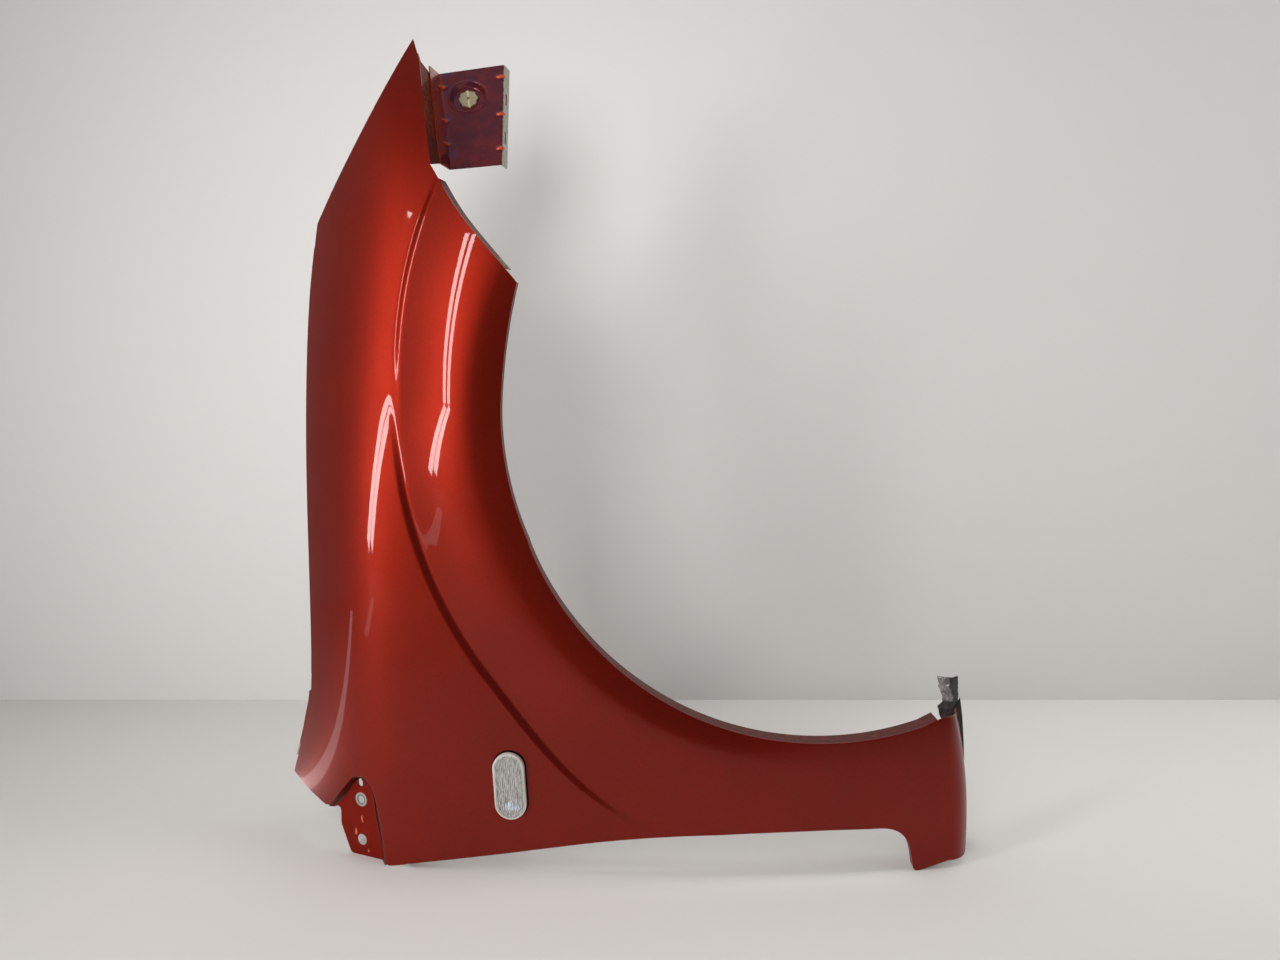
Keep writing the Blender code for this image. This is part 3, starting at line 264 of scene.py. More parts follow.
def sillFlare(share):
    return panel["flangeFlareFoot"] + (panel["flangeFlareTop"] - panel["flangeFlareFoot"]) * (1 - share) ** 2


def bodyDepth(x, z):
    roll = panel["sillRoll"]
    depth = (x - panel["sideCrown"]) ** 2 / (2 * panel["sideRadius"]) - panel["sideBulge"]
    depth = depth + ramp(panel["shoulder"] - x, panel["shoulderBlend"]) ** 2 / (2 * panel["shoulderRadius"])
    depth = depth + ramp(z - panel["noseStart"], panel["noseBlend"]) ** 2 / (2 * panel["noseRadius"])
    into = np.clip(x - sillEdge(z) + roll, 0, roll)
    return depth + roll - np.sqrt(roll**2 - into**2)


def crownRadius(angle):
    return panel["archRadius"] + panel["crownWidth"] + 0 * angle


def valleyRadius(angle):
    front = np.maximum(0, (panel["spreadFrontAngle"] - angle) / panel["spreadFrontSpan"])
    front = front ** panel["spreadFrontEase"]
    door = smoothStep(*panel["spreadDoorAngles"], angle)
    return (panel["archRadius"] + panel["flareWidth"] + panel["flareSpreadFront"] * front
            + panel["flareSpreadDoor"] * door)


def ridgeRadius(angle):
    return valleyRadius(angle) + panel["stepWidth"]


def depthAt(x, z):
    angle = np.degrees(np.arctan2(z, x)) % 360
    radius = np.hypot(x, z)
    valley = valleyRadius(angle)
    crown = crownRadius(angle)
    height = panel["flareHeight"] * (1 - panel["flareFade"] * smoothStep(*panel["flareFadeAngles"], angle))
    rise = np.clip(ramp(valley - radius, panel["valleyBlend"]) / (valley - crown), 0, 1)
    depth = bodyDepth(x, z) - height * np.sin(math.pi / 2 * rise)
    drop = panel["crownDrop"] * (1 - panel["crownFade"] * smoothStep(*panel["crownFadeAngles"], angle))
    over = ramp(crown - radius, panel["crownBlend"]) / panel["crownWidth"]
    depth = depth + drop * over ** panel["crownEase"]
    step = panel["stepHeight"] * smoothStep(*panel["stepRiseAngles"], angle)
    step = step * (1 - smoothStep(*panel["stepFallAngles"], angle))
    depth = depth + step * (1 - smoothStep(valley, valley + panel["stepWidth"], radius))
    beyond = radius - valley
    raised = panel["grooveRaise"] * (1 - smoothStep(*panel["grooveFadeAngles"], angle))
    brow = np.where(beyond > 0, np.exp(-np.maximum(beyond, 0) / panel["browWidth"]),
                    smoothStep(-panel["grooveWidth"], 0, beyond))
    return depth - raised * brow


def onSurface(flat):
    return np.stack([flat[..., 0], depthAt(flat[..., 0], flat[..., 1]), flat[..., 1]], axis=-1)


def crossing(a, b, radiusAt):
    low = np.zeros(len(a))
    high = np.ones(len(a))
    for _ in range(26):
        middle = (low + high) / 2
        p = a + (b - a) * middle[:, None]
        angle = np.degrees(np.arctan2(p[:, 1], p[:, 0])) % 360
        beyond = np.hypot(p[:, 0], p[:, 1]) > radiusAt(angle)
        high = np.where(beyond, middle, high)
        low = np.where(beyond, low, middle)
    return high


def rowShares(a, b):
    crown = np.clip(crossing(a, b, crownRadius), *panel["crownShares"])
    valley = np.minimum(panel["valleyShare"], crossing(a, b, valleyRadius))
    valley = np.maximum(crown + panel["valleyGap"], valley)
    ridge = np.minimum(panel["ridgeShare"], crossing(a, b, ridgeRadius))
    ridge = np.maximum(valley + panel["ridgeGap"], ridge)
    stops = [0 * crown, crown, valley, ridge, 0 * crown + 1]
    eased = [lambda t: t, lambda t: 1 - (1 - t) ** 1.35, lambda t: t, lambda t: t**1.15]
    shares = [stops[0][None]]
    for first, last, count, ease in zip(stops, stops[1:], panel["rows"], eased):
        shares.append(first + (last - first) * ease(evenly(count)[1:])[:, None])
    return np.concatenate(shares)


def unit(v):
    return v / np.maximum(np.linalg.norm(v, axis=-1, keepdims=True), 1e-12)


def bentRows(before, corners, radii):
    # rows of a folded strip: each corner but the last becomes a small arc
    rows = []
    path = [before] + corners
    for k in range(1, len(path) - 1):
        into = path[k - 1] - path[k]
        out = path[k + 1] - path[k]
        room = 0.45 * np.minimum(np.linalg.norm(into, axis=-1), np.linalg.norm(out, axis=-1))[..., None]
        into = unit(into)
        out = unit(out)
        half = np.arccos(np.clip(np.sum(into * out, axis=-1), -1, 1)) / 2
        reach = np.minimum(radii[k - 1] / np.maximum(np.tan(half), 0.05)[..., None], room)
        for t in evenly(panel["bendSteps"]):
            rows.append((path[k] + into * reach) * (1 - t) ** 2 + path[k] * 2 * t * (1 - t)
                        + (path[k] + out * reach) * t * t)
    rows.append(path[-1])
    return rows


# Mesh helpers

paintedSide = Vector((0, -1, 0))


def meshFromPatches(name, patches, weld=2e-5):
    # each patch is a grid of points with a fold depth, and at times a painted highlight mask, for every point;
    # the materials read both
    bm = bmesh.new()
    layers = [bm.verts.layers.float.new(layer) for layer in ("foldDepth", "paintedHighlight")]
    for points, *values in patches:
        rows, columns = points.shape[:2]
        made = [bm.verts.new(p) for p in points.reshape(-1, 3)]
        for layer, value in zip(layers, values):
            for vertex, amount in zip(made, np.broadcast_to(value, (rows, columns)).reshape(-1)):
                vertex[layer] = amount
        for i in range(rows - 1):
            for j in range(columns - 1):
                k = i * columns + j
                bm.faces.new((made[k], made[k + 1], made[k + columns + 1], made[k + columns]))
    bmesh.ops.remove_doubles(bm, verts=bm.verts, dist=weld)
    bmesh.ops.dissolve_degenerate(bm, edges=bm.edges, dist=1e-6)
    bmesh.ops.recalc_face_normals(bm, faces=bm.faces)
    bm.faces.ensure_lookup_table()
    if sum(face.normal.dot(paintedSide) * face.calc_area() for face in bm.faces) < 0:
        bmesh.ops.reverse_faces(bm, faces=bm.faces)
    mesh = bpy.data.meshes.new(name)
    bm.to_mesh(mesh)
    bm.free()
    return mesh


def addPiece(name, mesh, *finishes):
    made = bpy.data.objects.new(name, mesh)
    for finish in finishes:
        mesh.materials.append(finish)
    bpy.context.scene.collection.objects.link(made)
    return made


def smoothed(made, sharp):
    made.data.shade_smooth()
    made.data.set_sharp_from_angle(angle=math.radians(sharp))


def applied(made):
    # the object's modifiers become its mesh
    bpy.context.view_layer.update()
    graph = bpy.context.evaluated_depsgraph_get()
    mesh = bpy.data.meshes.new_from_object(made.evaluated_get(graph), depsgraph=graph)
    made.modifiers.clear()
    made.data = mesh
    smoothed(made, 38)


def sheetPiece(name, patches, thickness, finishes, holes=()):
    # sheet that grows inwards from its face, where a second finish goes on the inside
    made = addPiece(name, meshFromPatches(name, patches), *finishes)
    solid = made.modifiers.new("sheet", "SOLIDIFY")
    solid.thickness = thickness
    solid.offset = -1
    solid.material_offset = len(finishes) - 1
    if holes:
        cut(made, name + "Holes", holes)
    else:
        applied(made)
    return made


def prism(bm, matrix, outline, low, high):
    rings = [[bm.verts.new(matrix @ Vector((x, y, z))) for x, y in outline] for z in (low, high)]
    bm.faces.new(rings[0][::-1])
    bm.faces.new(rings[1])
    for i in range(len(outline)):
        k = (i + 1) % len(outline)
        bm.faces.new((rings[0][i], rings[0][k], rings[1][k], rings[1][i]))


def longHole(length, width, steps=12):
    radius = width / 2
    straight = (length - width) / 2
    outline = []
    for end, start in ((straight, 0), (-straight, 180)):
        for i in range(steps + 1):
            turn = math.radians(start + 180 * i / steps)
            outline.append((radius * math.cos(turn), end + radius * math.sin(turn)))
    return outline


def loopBody(name, loops, place, finishes, ring=False, paintedHighlights=None):
    # closed body through loops of equal count, ring-shaped or capped at both ends
    grid = np.array([np.asarray(loop, float) for loop in loops])
    if ring:
        grid = np.concatenate([grid, grid[:1]])
    grid = np.concatenate([grid, grid[:, :1]], axis=1)
    if not ring:
        middles = grid[[0, -1], :-1].mean(axis=1)[:, None] + 0 * grid[[0, -1]]
        grid = np.concatenate([middles[:1], grid, middles[1:]])
    paintedHighlight = paintedHighlights(grid) if paintedHighlights else 0.0
    shape = np.array(place)
    grid = grid @ shape[:3, :3].T + shape[:3, 3]
    made = addPiece(name, meshFromPatches(name, [(grid, 0.0, paintedHighlight)], weld=1e-6), *finishes)
    smoothed(made, 40)
    return made


def roundLoop(radius, height, lobes=0, lobeDepth=0.0, steps=48):
    turn = np.radians(np.arange(steps) * 360 / steps)
    reach = radius * (1 + lobeDepth * np.cos(lobes * turn))
    return np.stack([reach * np.cos(turn), reach * np.sin(turn), height + 0 * turn], axis=1)


def cut(made, name, shapes):
    # takes several prisms out, each a matrix, an outline and two heights
    bm = bmesh.new()
    for matrix, outline, low, high in shapes:
        prism(bm, matrix, outline, low, high)
    bmesh.ops.remove_doubles(bm, verts=bm.verts, dist=1e-6)
    bmesh.ops.recalc_face_normals(bm, faces=bm.faces)
    mesh = bpy.data.meshes.new(name)
    bm.to_mesh(mesh)
    bm.free()
    cutter = addPiece(name, mesh)
    hole = made.modifiers.new(name, "BOOLEAN")
    hole.operation = "DIFFERENCE"
    hole.solver = "EXACT"
    hole.object = cutter
    applied(made)
    bpy.data.objects.remove(cutter)


def facing(location, outward, upward):
    # a place with its z axis outward and its y axis as near upward as can be
    zAxis = Vector(outward).normalized()
    xAxis = Vector(upward).cross(zAxis).normalized()
    turn = Matrix((xAxis, zAxis.cross(xAxis), zAxis)).transposed()
    return Matrix.Translation(location) @ turn.to_4x4()


# Skin of the fender

# marks on the tab: places are across from its holes and up from its foot
tabMarks = {
    "seatHeight": 0.0006, "seatShares": (0.80, 1.05),
    "curlHeight": 0.0011, "curlPlace": (0.004, 0.0415), "curlRadius": 0.0040, "curlWidth": 0.0010,
    "curlAngles": (95, 135), "paintedGlintStretch": 0.6,
    "paintedGlints": ((-0.0075, 0.0245, 0.0016), (0.0075, 0.0065, 0.0013), (-0.0075, 0.0275, 0.0012)),
}


def tabDepth(x):
    base = depthAt(*doorCorner) + panel["tabJoggle"]
    return base + panel["tabSlope"] * (doorCorner[0] - x)


def shifted(rows, x=0.0, y=0.0, z=0.0):
    moved = rows.copy()
    moved[..., 0] += x
    moved[..., 1] += y
    moved[..., 2] += z
    return moved


def foldPatch(grid, side, first, last, corners, radii, patches):
    # replaces the border row by the start of the first bend and adds the folded strip
    border, inside = (0, 1) if side == "inner" else (-1, -2)
    edge = grid[border, first:last + 1].copy()
    before = grid[inside, first:last + 1]
    rows = bentRows(before, [edge] + corners(edge), radii)
    grid[border, first:last + 1] = rows[0]
    strip = np.stack(rows)
    travelled = np.linalg.norm(np.diff(strip, axis=0), axis=-1)
    depth = np.concatenate([np.zeros((1, strip.shape[1])), np.cumsum(travelled, axis=0)])
    patches.append((strip, depth))
    return strip


def tabRelief(x, z):
    # raised seats round the two large holes and the pressed crescent
    relief = -tabMarks["curlHeight"] * tabCurl(x, z)
    inside, outside = tabMarks["seatShares"]
    for height, wide, _ in panel["tabHoles"][:2]:
        r = np.hypot(x - tabHoleX, z - panel["floorZ"] - height)
        relief = relief - tabMarks["seatHeight"] * (1 - smoothStep(wide * inside, wide * outside, r))
    return relief


def tabCurl(x, z):
    # pressed crescent between the two lower holes
    across, height = tabMarks["curlPlace"]
    across = x - tabHoleX - across
    height = z - panel["floorZ"] - height
    ring = np.exp(-((np.hypot(across, height) - tabMarks["curlRadius"]) / tabMarks["curlWidth"]) ** 2)
    return ring * smoothStep(*tabMarks["curlAngles"], np.abs(np.degrees(np.arctan2(height, across))))


# painted highlights: bright glints on the tab's crescent and at three spots by its holes
def tabPaintedGlints(x, z):
    paintedGlints = tabCurl(x, z)
    for across, height, size in tabMarks["paintedGlints"]:
        r = np.hypot(x - tabHoleX - across, (z - panel["floorZ"] - height) * tabMarks["paintedGlintStretch"])
        paintedGlints = np.maximum(paintedGlints, np.exp(-(r / size) ** 2))
    return paintedGlints


def panelPatches():
    inner = innerBorder()
    outer = outerBorder()
    shares = rowShares(inner, outer)
    flat = inner[None] + (outer - inner)[None] * shares[..., None]
    first, _ = spanColumns("foot")
    bowed = np.clip((np.arange(len(inner)) - first) / spans["foot"], 0, 1)
    flat[..., 0] += sillBow(shares) * bowed[None]
    grid = onSurface(flat)
    patches = []
    foldInner(grid, patches)
    foldBonnet(grid, patches)

    # plain returns: the columns left free at either end, and the depth
    for name, before, after, size in (("cowl", 0, 4, "cowlReturn"), ("door", 5, 0, "doorReturn"),
                                      ("fillet", 4, 4, "footReturn"), ("foot", 0, 0, "footReturn")):
        first, last = spanColumns(name)
        foldPatch(grid, "outer", first + before, last - after,
                  lambda edge: [shifted(edge, y=panel[size])], (panel["bend"],), patches)

    addTab(addRecess(grid, patches), patches)
    addSillFlange(grid, patches)
    patches.append((grid, 0.0))
    return patches


def foldInner(grid, patches):
    # bracket return, bumper return and arch lip, with a few columns left flat at the corners
    bend, flat = panel["bend"], panel["noBend"]
    splay = panel["bumperSplay"]

    def bracketReturn(edge):
        below = np.maximum(0, tip[1] - edge[:, 2] - 0.027)
        depth = np.minimum(panel["bracketReturn"], panel["returnEdge"] + panel["returnRise"] * below)
        lift = panel["returnLift"] * depth * smoothStep(0.72, 1.0, evenly(len(edge) - 1))
        offset = np.stack([panel["bracketSplay"] / panel["bracketReturn"] * depth, depth, lift], axis=1)
        return [edge + offset * share for share in (0.34, 0.67, 1.0)]

    def bumperReturn(edge):
        return [shifted(edge, splay * s, panel["bumperReturn"] * s, splay * s / 2) for s in (0.5, 1.0)]

    def archLip(edge):
        share = evenly(len(edge) - 1)
        depth = panel["lipFront"] + (panel["lipSill"] - panel["lipFront"]) * smoothStep(0.1, 0.7, share)
        return [shifted(edge, y=depth * s) for s in (0.5, 1.0)]

    first, last = spanColumns("noseTip")
    foldPatch(grid, "inner", first + 6, last, bracketReturn, (bend, flat, flat), patches)
    first, last = spanColumns("nose")
    foldPatch(grid, "inner", first + 5, last - 5, bumperReturn, (bend, flat), patches)
    foldPatch(grid, "inner", last, spanColumns("foot")[1], archLip, (bend, flat), patches)


def foldBonnet(grid, patches):
    # headlamp return, and the bonnet flange with its lower end
    bend = panel["bend"]
    first, last = spanColumns("bonnet")
    foldPatch(grid, "outer", 12, first - 5, lambda edge: [shifted(edge, y=panel["headlampReturn"])],
              (bend,), patches)
    flatLast = max(i for i in range(first + 5, last) if grid[-1, i, 2] > ear[1] + 0.13)

    def bonnetFlange(edge):
        wall = shifted(edge, y=panel["bonnetWall"])
        wall[:, 0] = panel["bonnetX"] + panel["bonnetInset"]
        return [shifted(edge, -panel["hem"] / 2, panel["hem"]), wall, shifted(wall, y=panel["bonnetFlange"])]

    def lowerEnd(edge):
        return [shifted(edge, -panel["hem"], panel["hem"]),
                shifted(edge, -panel["hem"] / 2, panel["bonnetWall"])]

    foldPatch(grid, "outer", first + 5, flatLast, bonnetFlange,
              (bend, panel["softBend"], panel["looseBend"]), patches)
    foldPatch(grid, "outer", flatLast + 4, last - 5, lowerEnd, (bend, panel["softBend"]), patches)


def addRecess(grid, patches):
    first, last = spanColumns("recess")
    edge = grid[-1, first:last + 1].copy()
    middle = doorCorner + point(-panel["tabHoleInset"], panel["recessHeight"] / 2)
    inward = middle[None] - edge[:, (0, 2)]
    inward[np.isclose(edge[:, 2], panel["floorZ"], atol=1e-5), 1] = 0
    foot = edge[:, (0, 2)] + unit(inward) * panel["joggleRun"]
    foot3 = np.stack([foot[:, 0], tabDepth(foot[:, 0]), foot[:, 1]], axis=1)
    return foldPatch(grid, "outer", first, last, lambda edge: [foot3], (panel["recessBend"],), patches)[-1]


def addTab(wallFoot, patches):
    outerX = doorCorner[0] - panel["tabReach"]
    top = panel["floorZ"] + panel["tabTop"]
    start = wallFoot[0][[0, 2]]
    end = wallFoot[-1][[0, 2]]
    outline = roundedPath([start, point(outerX, top), point(outerX, top - panel["tabSide"]),
                           point(outerX + panel["tabToe"], panel["floorZ"]), end], 3 * (panel["tabCorner"],), 6)
    far = along(outline, evenly(len(wallFoot) - 1))
    near = wallFoot[:, (0, 2)]
    shares = evenly(panel["tabRows"])[:, None]
    flat = near[None] + (far - near)[None] * shares[..., None]
    x = flat[..., 0]
    z = flat[..., 1]
    fillet = panel["tabFillet"] * np.exp(-shares * 14) * smoothStep(0, 0.02, shares)
    depth = tabDepth(x) + tabRelief(x, z) * smoothStep(0, 0.12, shares) - fillet
    patches.append((np.stack([x, depth, z], axis=-1), panel["tabFold"], tabPaintedGlints(x, z)))


def addSillFlange(grid, patches):
    edge = grid[:, -1].copy()
    share = sillShare(edge[:, 2])
    down = (edge[:, 2] - panel["floorZ"]) * smoothStep(0.75, 1.0, share)
    strip = np.stack([shifted(edge, sillFlare(share) * s, panel["flangeDepth"] * s, -down * s)
                      for s in evenly(panel["flangeRows"])])
    patches.append((strip, np.linalg.norm(strip - strip[0], axis=-1)))


# the side repeater, whose hole is in the skin
lamp = {
    "x": -0.3286, "aboveFoot": 0.097, "length": 0.071, "width": 0.0335, "lean": 3.5,
    "gap": 0.0003, "gasket": 0.0012, "lensHeight": 0.0055, "edge": 0.0018, "wall": 0.0018,
    "flange": 0.0050, "skirt": 0.008, "rim": 0.0042, "rimEdge": 0.0003, "dish": 0.0007, "middle": 0.0165,
    "ribPitch": 0.0021, "ribDepth": 0.0006, "swayPitches": (900, 2600), "backRows": 24, "frontRows": 64,
    "gasketInsets": (0.0012, 0.0010), "gasketStep": 0.0004,
}


def lampFrame():
    x = lamp["x"]
    z = panel["floorZ"] + lamp["aboveFoot"]
    reach = lamp["width"] / 2
    slopeX = (depthAt(x + reach, z) - depthAt(x - reach, z)) / (2 * reach)
    slopeZ = (depthAt(x, z + reach) - depthAt(x, z - reach)) / (2 * reach)
    lean = math.radians(lamp["lean"])
    return facing((x, float(depthAt(x, z)), z), (slopeX, -1, slopeZ), (-math.sin(lean), 0, math.cos(lean)))


def handIn(made, node):
    # moved to its place in the frame, where no point leaves the box of the drawn piece
    low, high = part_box(node)
    made.data.transform(Matrix.Translation(wheel))
    for vertex in made.data.vertices:
        for k in range(3):
            vertex.co[k] = min(max(vertex.co[k], low[k]), high[k])
    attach(made, "root")
    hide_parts(node)
    print(made.name, "has", sum(len(face.vertices) - 2 for face in made.data.polygons), "triangles")


def buildPanel(*finishes):
    shapes = []
    for height in panel["boltHeights"]:
        y = depthAt(panel["bonnetX"] + 0.002, height) + panel["bonnetWall"] + panel["bonnetFlange"] / 2
        place = facing((panel["bonnetX"] + panel["bonnetInset"], y, height), (1, 0, 0), (0, 0, 1))
        shapes.append((place, longHole(panel["boltDiameter"], panel["boltDiameter"] - 1e-5), -0.006, 0.006))
    for height, wide, high in panel["tabHoles"]:
        place = facing((tabHoleX, tabDepth(tabHoleX), panel["floorZ"] + height),
                       (-panel["tabSlope"], -1, 0), (0, 0, 1))
        shapes.append((place, longHole(max(high, wide + 1e-5), wide), -0.006, 0.006))
    opening = 2 * (lamp["flange"] - lamp["gap"])
    shapes.append((lampFrame(), longHole(lamp["length"] - opening, lamp["width"] - opening), -0.012, 0.012))
    handIn(sheetPiece("panelSkin", panelPatches(), panel["sheet"], finishes, shapes),
           "fender_panel")


# Bumper bracket

bracket = {
    "sheet": 0.0012, "fit": 0.0017,
    "top": -0.001, "rise": 0.1195, "seamDepth": 0.030, "webDepth": 0.056,
    "widths": (0.076, 0.058), "slopes": (0.155, 0.10),
    "rearFlange": 0.022, "rearSplay": 0.0035, "bend": 0.0028,
    "cupAlong": 0.42, "cupDown": 0.28, "cupRadius": 0.020, "cupDraft": 0.0035, "cupDepth": 0.006,
    "cupEdge": 0.0012, "shank": 0.0051,
    "slots": (0.33, 0.72), "slotLength": 0.016, "slotWidth": 0.004,
    "rimOut": 0.0012, "rimWidth": 0.0010, "rimHeight": 0.0005, "webColumn": 60,
    "leftDarts": (0.155, 0.51, 0.755), "rightDarts": (0.12, 0.50, 0.84),
    "dartHeight": 0.0030, "dartLength": 0.0105, "dartWidth": 0.0019,
    "columns": 168, "rows": 150,
}


def bracketCorners():
    rows = []
    shares = [down / panel["bracketEdge"] for down in (bracket["top"], bracket["top"] + bracket["rise"])]

    def returnPoint(share, depth):
        edge = tipShoulder + (bracketFoot - tipShoulder) * share
        splay = panel["bracketSplay"] * depth / panel["bracketReturn"]
        return onSurface(edge) + np.array([splay + bracket["fit"], depth, 0])

    upward = returnPoint(shares[0], 0) - returnPoint(shares[1], 0)
    upward = upward / upward[2]
    for share, width, slope in zip(shares, bracket["widths"], bracket["slopes"]):
        web = returnPoint(share, bracket["webDepth"])
        seam = returnPoint(share, bracket["webDepth"] - bracket["seamDepth"])
        far = web + (np.array([1, 0, 0]) + upward * slope) * width
        rear = far + np.array([bracket["rearSplay"], bracket["rearFlange"], 0])
        rows.append([seam, web, far, rear])
    return np.array(rows)


def bracketPlane(corners):
    top, bottom = corners
    outward = np.cross(top[2] - top[1], top[1] - bottom[1])
    outward = outward if outward[1] < 0 else -outward
    above = top[1] + (top[2] - top[1]) * bracket["cupAlong"]
    below = bottom[1] + (bottom[2] - bottom[1]) * bracket["cupAlong"]
    middle = above + (below - above) * bracket["cupDown"]
    return facing(middle, outward, top[1] - bottom[1])


def buildBracket(*finishes):
    corners = bracketCorners()
    shares = evenly(bracket["columns"])
    profiles = [along(roundedPath(list(row), 2 * (bracket["bend"],), 10), shares) for row in corners]
    heights = evenly(bracket["rows"])[:, None]
    grid = profiles[0][None] + (profiles[1] - profiles[0])[None] * heights[..., None]
    across = np.gradient(grid, axis=1)
    normal = unit(np.cross(across, np.gradient(grid, axis=0)))
    web = bracket["webColumn"]
    normal = np.where(normal[:, web:web + 1, 1:2] > 0, -normal, normal)

    travelled = np.concatenate([[0], np.cumsum(np.linalg.norm(np.diff(profiles[0], axis=0), axis=1))])
    leftBend = bracket["seamDepth"] - bracket["bend"] / 2
    rightBend = leftBend + bracket["widths"][0] - bracket["bend"] / 2
    raised = np.zeros(grid.shape[:2])
    # pressed marks the darts and is also the mask of their painted highlight
    pressed = np.zeros(grid.shape[:2])
    for bend, darts in ((leftBend, bracket["leftDarts"]), (rightBend, bracket["rightDarts"])):
        near = np.clip(1 - np.abs(travelled - bend) / bracket["dartLength"], 0, 1)[None]
        for dart in darts:
            ridge = np.exp(-((heights - dart) * bracket["rise"] / bracket["dartWidth"]) ** 2)
            raised += bracket["dartHeight"] * near * ridge
            pressed = np.maximum(pressed, smoothStep(0, 0.7, near) * ridge)
    plane = bracketPlane(corners)
    toPlane = np.array(plane.inverted())
    local = grid @ toPlane[:3, :3].T + toPlane[:3, 3]
    radius = np.hypot(local[..., 0], local[..., 1])
    onWeb = (travelled > leftBend) & (travelled < rightBend)
    cup = bracket["cupRadius"]
    wall = smoothStep(cup + bracket["cupEdge"], cup - bracket["cupDraft"], radius)
    raised -= np.where(onWeb[None], bracket["cupDepth"] * wall, 0)
    rim = np.exp(-((radius - cup - bracket["rimOut"]) / bracket["rimWidth"]) ** 2)
    raised += np.where(onWeb[None], bracket["rimHeight"] * rim, 0)
    grid = grid + normal * raised[..., None]

    top, bottom = corners
    rearNormal = np.cross(top[3] - top[2], top[2] - bottom[2])
    above = (top[2] + top[3]) / 2
    below = (bottom[2] + bottom[3]) / 2
    slot = longHole(bracket["slotLength"], bracket["slotWidth"])
    shapes = [(plane, longHole(2 * bracket["shank"] + 1e-5, 2 * bracket["shank"]), -0.012, 0.004)]
    for share in bracket["slots"]:
        place = facing(above + (below - above) * share, rearNormal, top[2] - bottom[2])
        shapes.append((place, slot, -0.005, 0.005))
    patches = [(grid, travelled[None], pressed)]
    handIn(sheetPiece("bumperBracket", patches, bracket["sheet"], finishes, shapes),
           "bumper_bracket")


# Nylon grommet in the bracket's cup

grommet = {
    "head": 0.0105, "thickness": 0.003, "edge": 0.0008, "lobes": 8, "lobeDepth": 0.06,
    "bore": 0.0018, "shank": 0.0048, "barb": 0.0060, "point": 0.0034, "length": 0.014,
    "seat": -0.0057, "behind": -0.0076, "ridge": 0.0009, "ridgeHeight": 0.0004, "grooveDepth": 0.0004,
    "boreEdge": 0.0006, "boreDepth": 0.006, "steps": 96,
}


def buildGrommet(*finishes):
    seat = grommet["seat"]
    top = seat + grommet["thickness"]
    behind = grommet["behind"]
    bore = grommet["bore"]

    def lobed(radius, height, share=1.0):
        return roundLoop(radius, height, grommet["lobes"], grommet["lobeDepth"] * share, grommet["steps"])

    loops = [lobed(bore, top - grommet["boreEdge"], 0)]
    for share in evenly(9):
        loops.append(lobed(bore + (grommet["head"] - 1.6 * grommet["edge"] - bore) * share, top, share))
    flatTop = len(loops)
    for turn in np.radians((30, 60, 90)):
        loops.append(lobed(grommet["head"] - grommet["edge"] * (1 - math.sin(turn)),
                           top - grommet["edge"] * (1 - math.cos(turn))))
    loops.append(lobed(grommet["head"], seat))
    for radius, height in (("shank", seat), ("shank", behind), ("barb", behind - 0.0012),
                           ("barb", behind - 0.002), ("point", seat - grommet["length"]),
                           ("bore", seat - grommet["length"]), ("bore", top - grommet["boreDepth"])):
        loops.append(lobed(grommet[radius], height, 0))
    for loop in loops[:flatTop]:
        loop[:, 2] += grommet["ridgeHeight"] * np.exp(-(loop[:, 0] / grommet["ridge"]) ** 2)
        loop[:, 2] -= grommet["grooveDepth"] * np.exp(-(loop[:, 1] / grommet["ridge"]) ** 2)

    def paintedRidgeHighlight(grid):
        return np.exp(-(grid[..., 0] / grommet["ridge"]) ** 2)

    place = bracketPlane(bracketCorners())
    made = loopBody("bracketGrommet", loops, place, finishes, ring=True, paintedHighlights=paintedRidgeHighlight)
    handIn(made, "bracket_grommet")


# Sill bracket behind the sill flange

sillBracket = {
    "top": 0.0335, "length": 0.130, "clear": 0.00127, "legShares": (0.12, 0.90), "topFall": 0.008,
    "wing": ((0.0, 0.0163), (0.10, 0.0140), (0.19, 0.0100), (0.21, 0.0104), (0.25, 0.0160), (0.30, 0.0160),
             (0.62, 0.0096), (1.0, 0.0062)),
    "splay": 0.006, "sheet": 0.0012, "ragged": 0.0011, "lumps": 0.0007, "rows": 190, "columns": 60,
    "jags": 38, "lumpRows": 48, "lumpColumns": 18, "bend": 0.0022,
}


